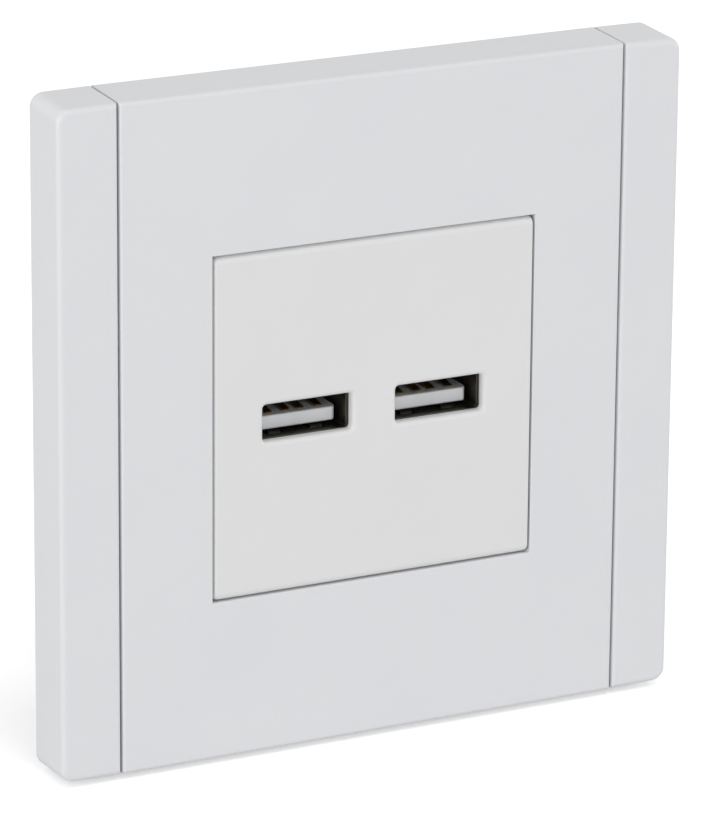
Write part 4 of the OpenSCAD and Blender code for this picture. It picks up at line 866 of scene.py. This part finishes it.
# %% Materials for the CAD nodes inside
inside = {
    circuit_board: ["usb_board", "power_board"],
    black_component: ["board_header", "charge_controller", "transformer_bobbin", "bridge_rectifier",
                      "output_rectifier"],
    ferrite: ["transformer_core"],
    winding_tape: ["transformer_winding"],
    capacitor_sleeve: ["input_capacitors", "output_capacitors"],
    resistor_coat: ["fuse_resistor"],
    blue_epoxy: ["varistor", "safety_capacitor"],
    copper_winding: ["choke"],
    brass: ["terminal_busbars"],
}
for material, nodes in inside.items():
    for node in nodes:
        mesh = frame["nodes"][node].data
        mesh.materials.clear()
        mesh.materials.append(material)
print("CAD nodes kept:", sum(len(nodes) for nodes in inside.values()))

# %% [markdown]
# ## Floor, light and camera
# The photograph is a studio picture on white. The floor is a pale sheet under the cover's lower
# edge. It keeps the object's soft shadow, and a little light of its own, for camera rays only,
# lifts it to the white of the background. The world gives the even light of a photographer's
# tent, and shows as white to the camera and in reflections.

# %% Floor and world
floor_shape = bmesh.new()
bmesh.ops.create_grid(floor_shape, x_segments=1, y_segments=1, size=3)
bmesh.ops.translate(floor_shape, vec=(0, 0, cad_low.z - 0.0004), verts=floor_shape.verts)
floor_mesh = bpy.data.meshes.new("floor")
floor_shape.to_mesh(floor_mesh)
floor_shape.free()
floor = bpy.data.objects.new("floor", floor_mesh)
scene.collection.objects.link(floor)
paper = bpy.data.materials.new("white_studio_paper")
paper.use_nodes = True
tree = paper.node_tree
tree.nodes.clear()
sheen = add_node(tree, "ShaderNodeBsdfDiffuse", {"Color": hex_colour("#F2F2F2")})
seen = add_node(tree, "ShaderNodeLightPath")
glow = add_node(tree, "ShaderNodeEmission", {"Strength": 0.45})
dark = add_node(tree, "ShaderNodeEmission", {"Strength": 0.0})
own_light = add_node(tree, "ShaderNodeMixShader", {
    0: seen.outputs["Is Camera Ray"], 1: dark.outputs["Emission"], 2: glow.outputs["Emission"]})
both = add_node(tree, "ShaderNodeAddShader", {0: sheen.outputs["BSDF"], 1: own_light.outputs["Shader"]})
add_node(tree, "ShaderNodeOutputMaterial", {"Surface": both.outputs["Shader"]})
floor_mesh.materials.append(paper)

world = bpy.data.worlds.new("studio_tent")
scene.world = world
world.use_nodes = True
tree = world.node_tree
tree.nodes.clear()
path = add_node(tree, "ShaderNodeLightPath")
first = add_node(tree, "ShaderNodeMath", {
    0: path.outputs["Is Camera Ray"], 1: path.outputs["Is Glossy Ray"]}, operation="MAXIMUM")
white_rays = add_node(tree, "ShaderNodeMath", {
    0: first.outputs["Value"], 1: path.outputs["Is Transmission Ray"]}, operation="MAXIMUM")
tent = add_node(tree, "ShaderNodeBackground", {"Color": hex_colour("#FFFFFF"), "Strength": 0.6})
white = add_node(tree, "ShaderNodeBackground", {"Color": hex_colour("#FFFFFF"), "Strength": 1.0})
shown = add_node(tree, "ShaderNodeMixShader", {
    0: white_rays.outputs["Value"], 1: tent.outputs["Background"], 2: white.outputs["Background"]})
add_node(tree, "ShaderNodeOutputWorld", {"Surface": shown.outputs["Shader"]})
scene.view_settings.view_transform = "Standard"
print("floor at", round(cad_low.z / MM, 2), "mm")

# %% Lamps
def soft_lamp(name, place, size, power):
    """A square area lamp that looks at the middle of the cover."""
    lamp = bpy.data.lights.new(name, "AREA")
    lamp.size, lamp.energy = size, power
    holder = bpy.data.objects.new(name, lamp)
    holder.location = place
    holder.rotation_euler = (-Vector(place)).to_track_quat("-Z", "Y").to_euler()
    scene.collection.objects.link(holder)


soft_lamp("left", (-1.25, -0.45, 0.1), 0.4, 5.9)
soft_lamp("right", (1.25, -0.45, 0.1), 0.4, 4.0)
soft_lamp("top", (0, -0.45, 1.2), 0.4, 2.6)
soft_lamp("front", (-0.3, -1.5, 0.25), 0.6, 1.6)

# %% [markdown]
# ## Camera
# The camera's place, turn and lens were worked out from the straight edges of the cover and the
# known 45 mm of the plate. A long lens seen from 0.71 m keeps the grooves almost parallel.

# %% Camera
YAW, PITCH, ROLL = math.radians(-27.023), math.radians(17.657), math.radians(0.434)
FOCAL_PX, IMAGE_H, CAMERA_MM = 5591, 816, (-308.414, -606.947, 214.312)
back_way = Vector((math.sin(YAW) * math.cos(PITCH), -math.cos(YAW) * math.cos(PITCH), math.sin(PITCH)))
right_way = Vector((math.cos(YAW), math.sin(YAW), 0))
up_way = back_way.cross(right_way)
turned_right = math.cos(ROLL) * right_way + math.sin(ROLL) * up_way
turned_up = math.cos(ROLL) * up_way - math.sin(ROLL) * right_way
camera_data = bpy.data.cameras.new("camera")
camera_data.sensor_width = 36
camera_data.lens = FOCAL_PX / IMAGE_H * camera_data.sensor_width
camera = bpy.data.objects.new("camera", camera_data)
scene.collection.objects.link(camera)
camera.matrix_world = Matrix.LocRotScale(
    Vector(CAMERA_MM) * MM, Matrix((turned_right, turned_up, back_way)).transposed(), None)
scene.camera = camera
print("lens", round(camera_data.lens, 1), "mm")
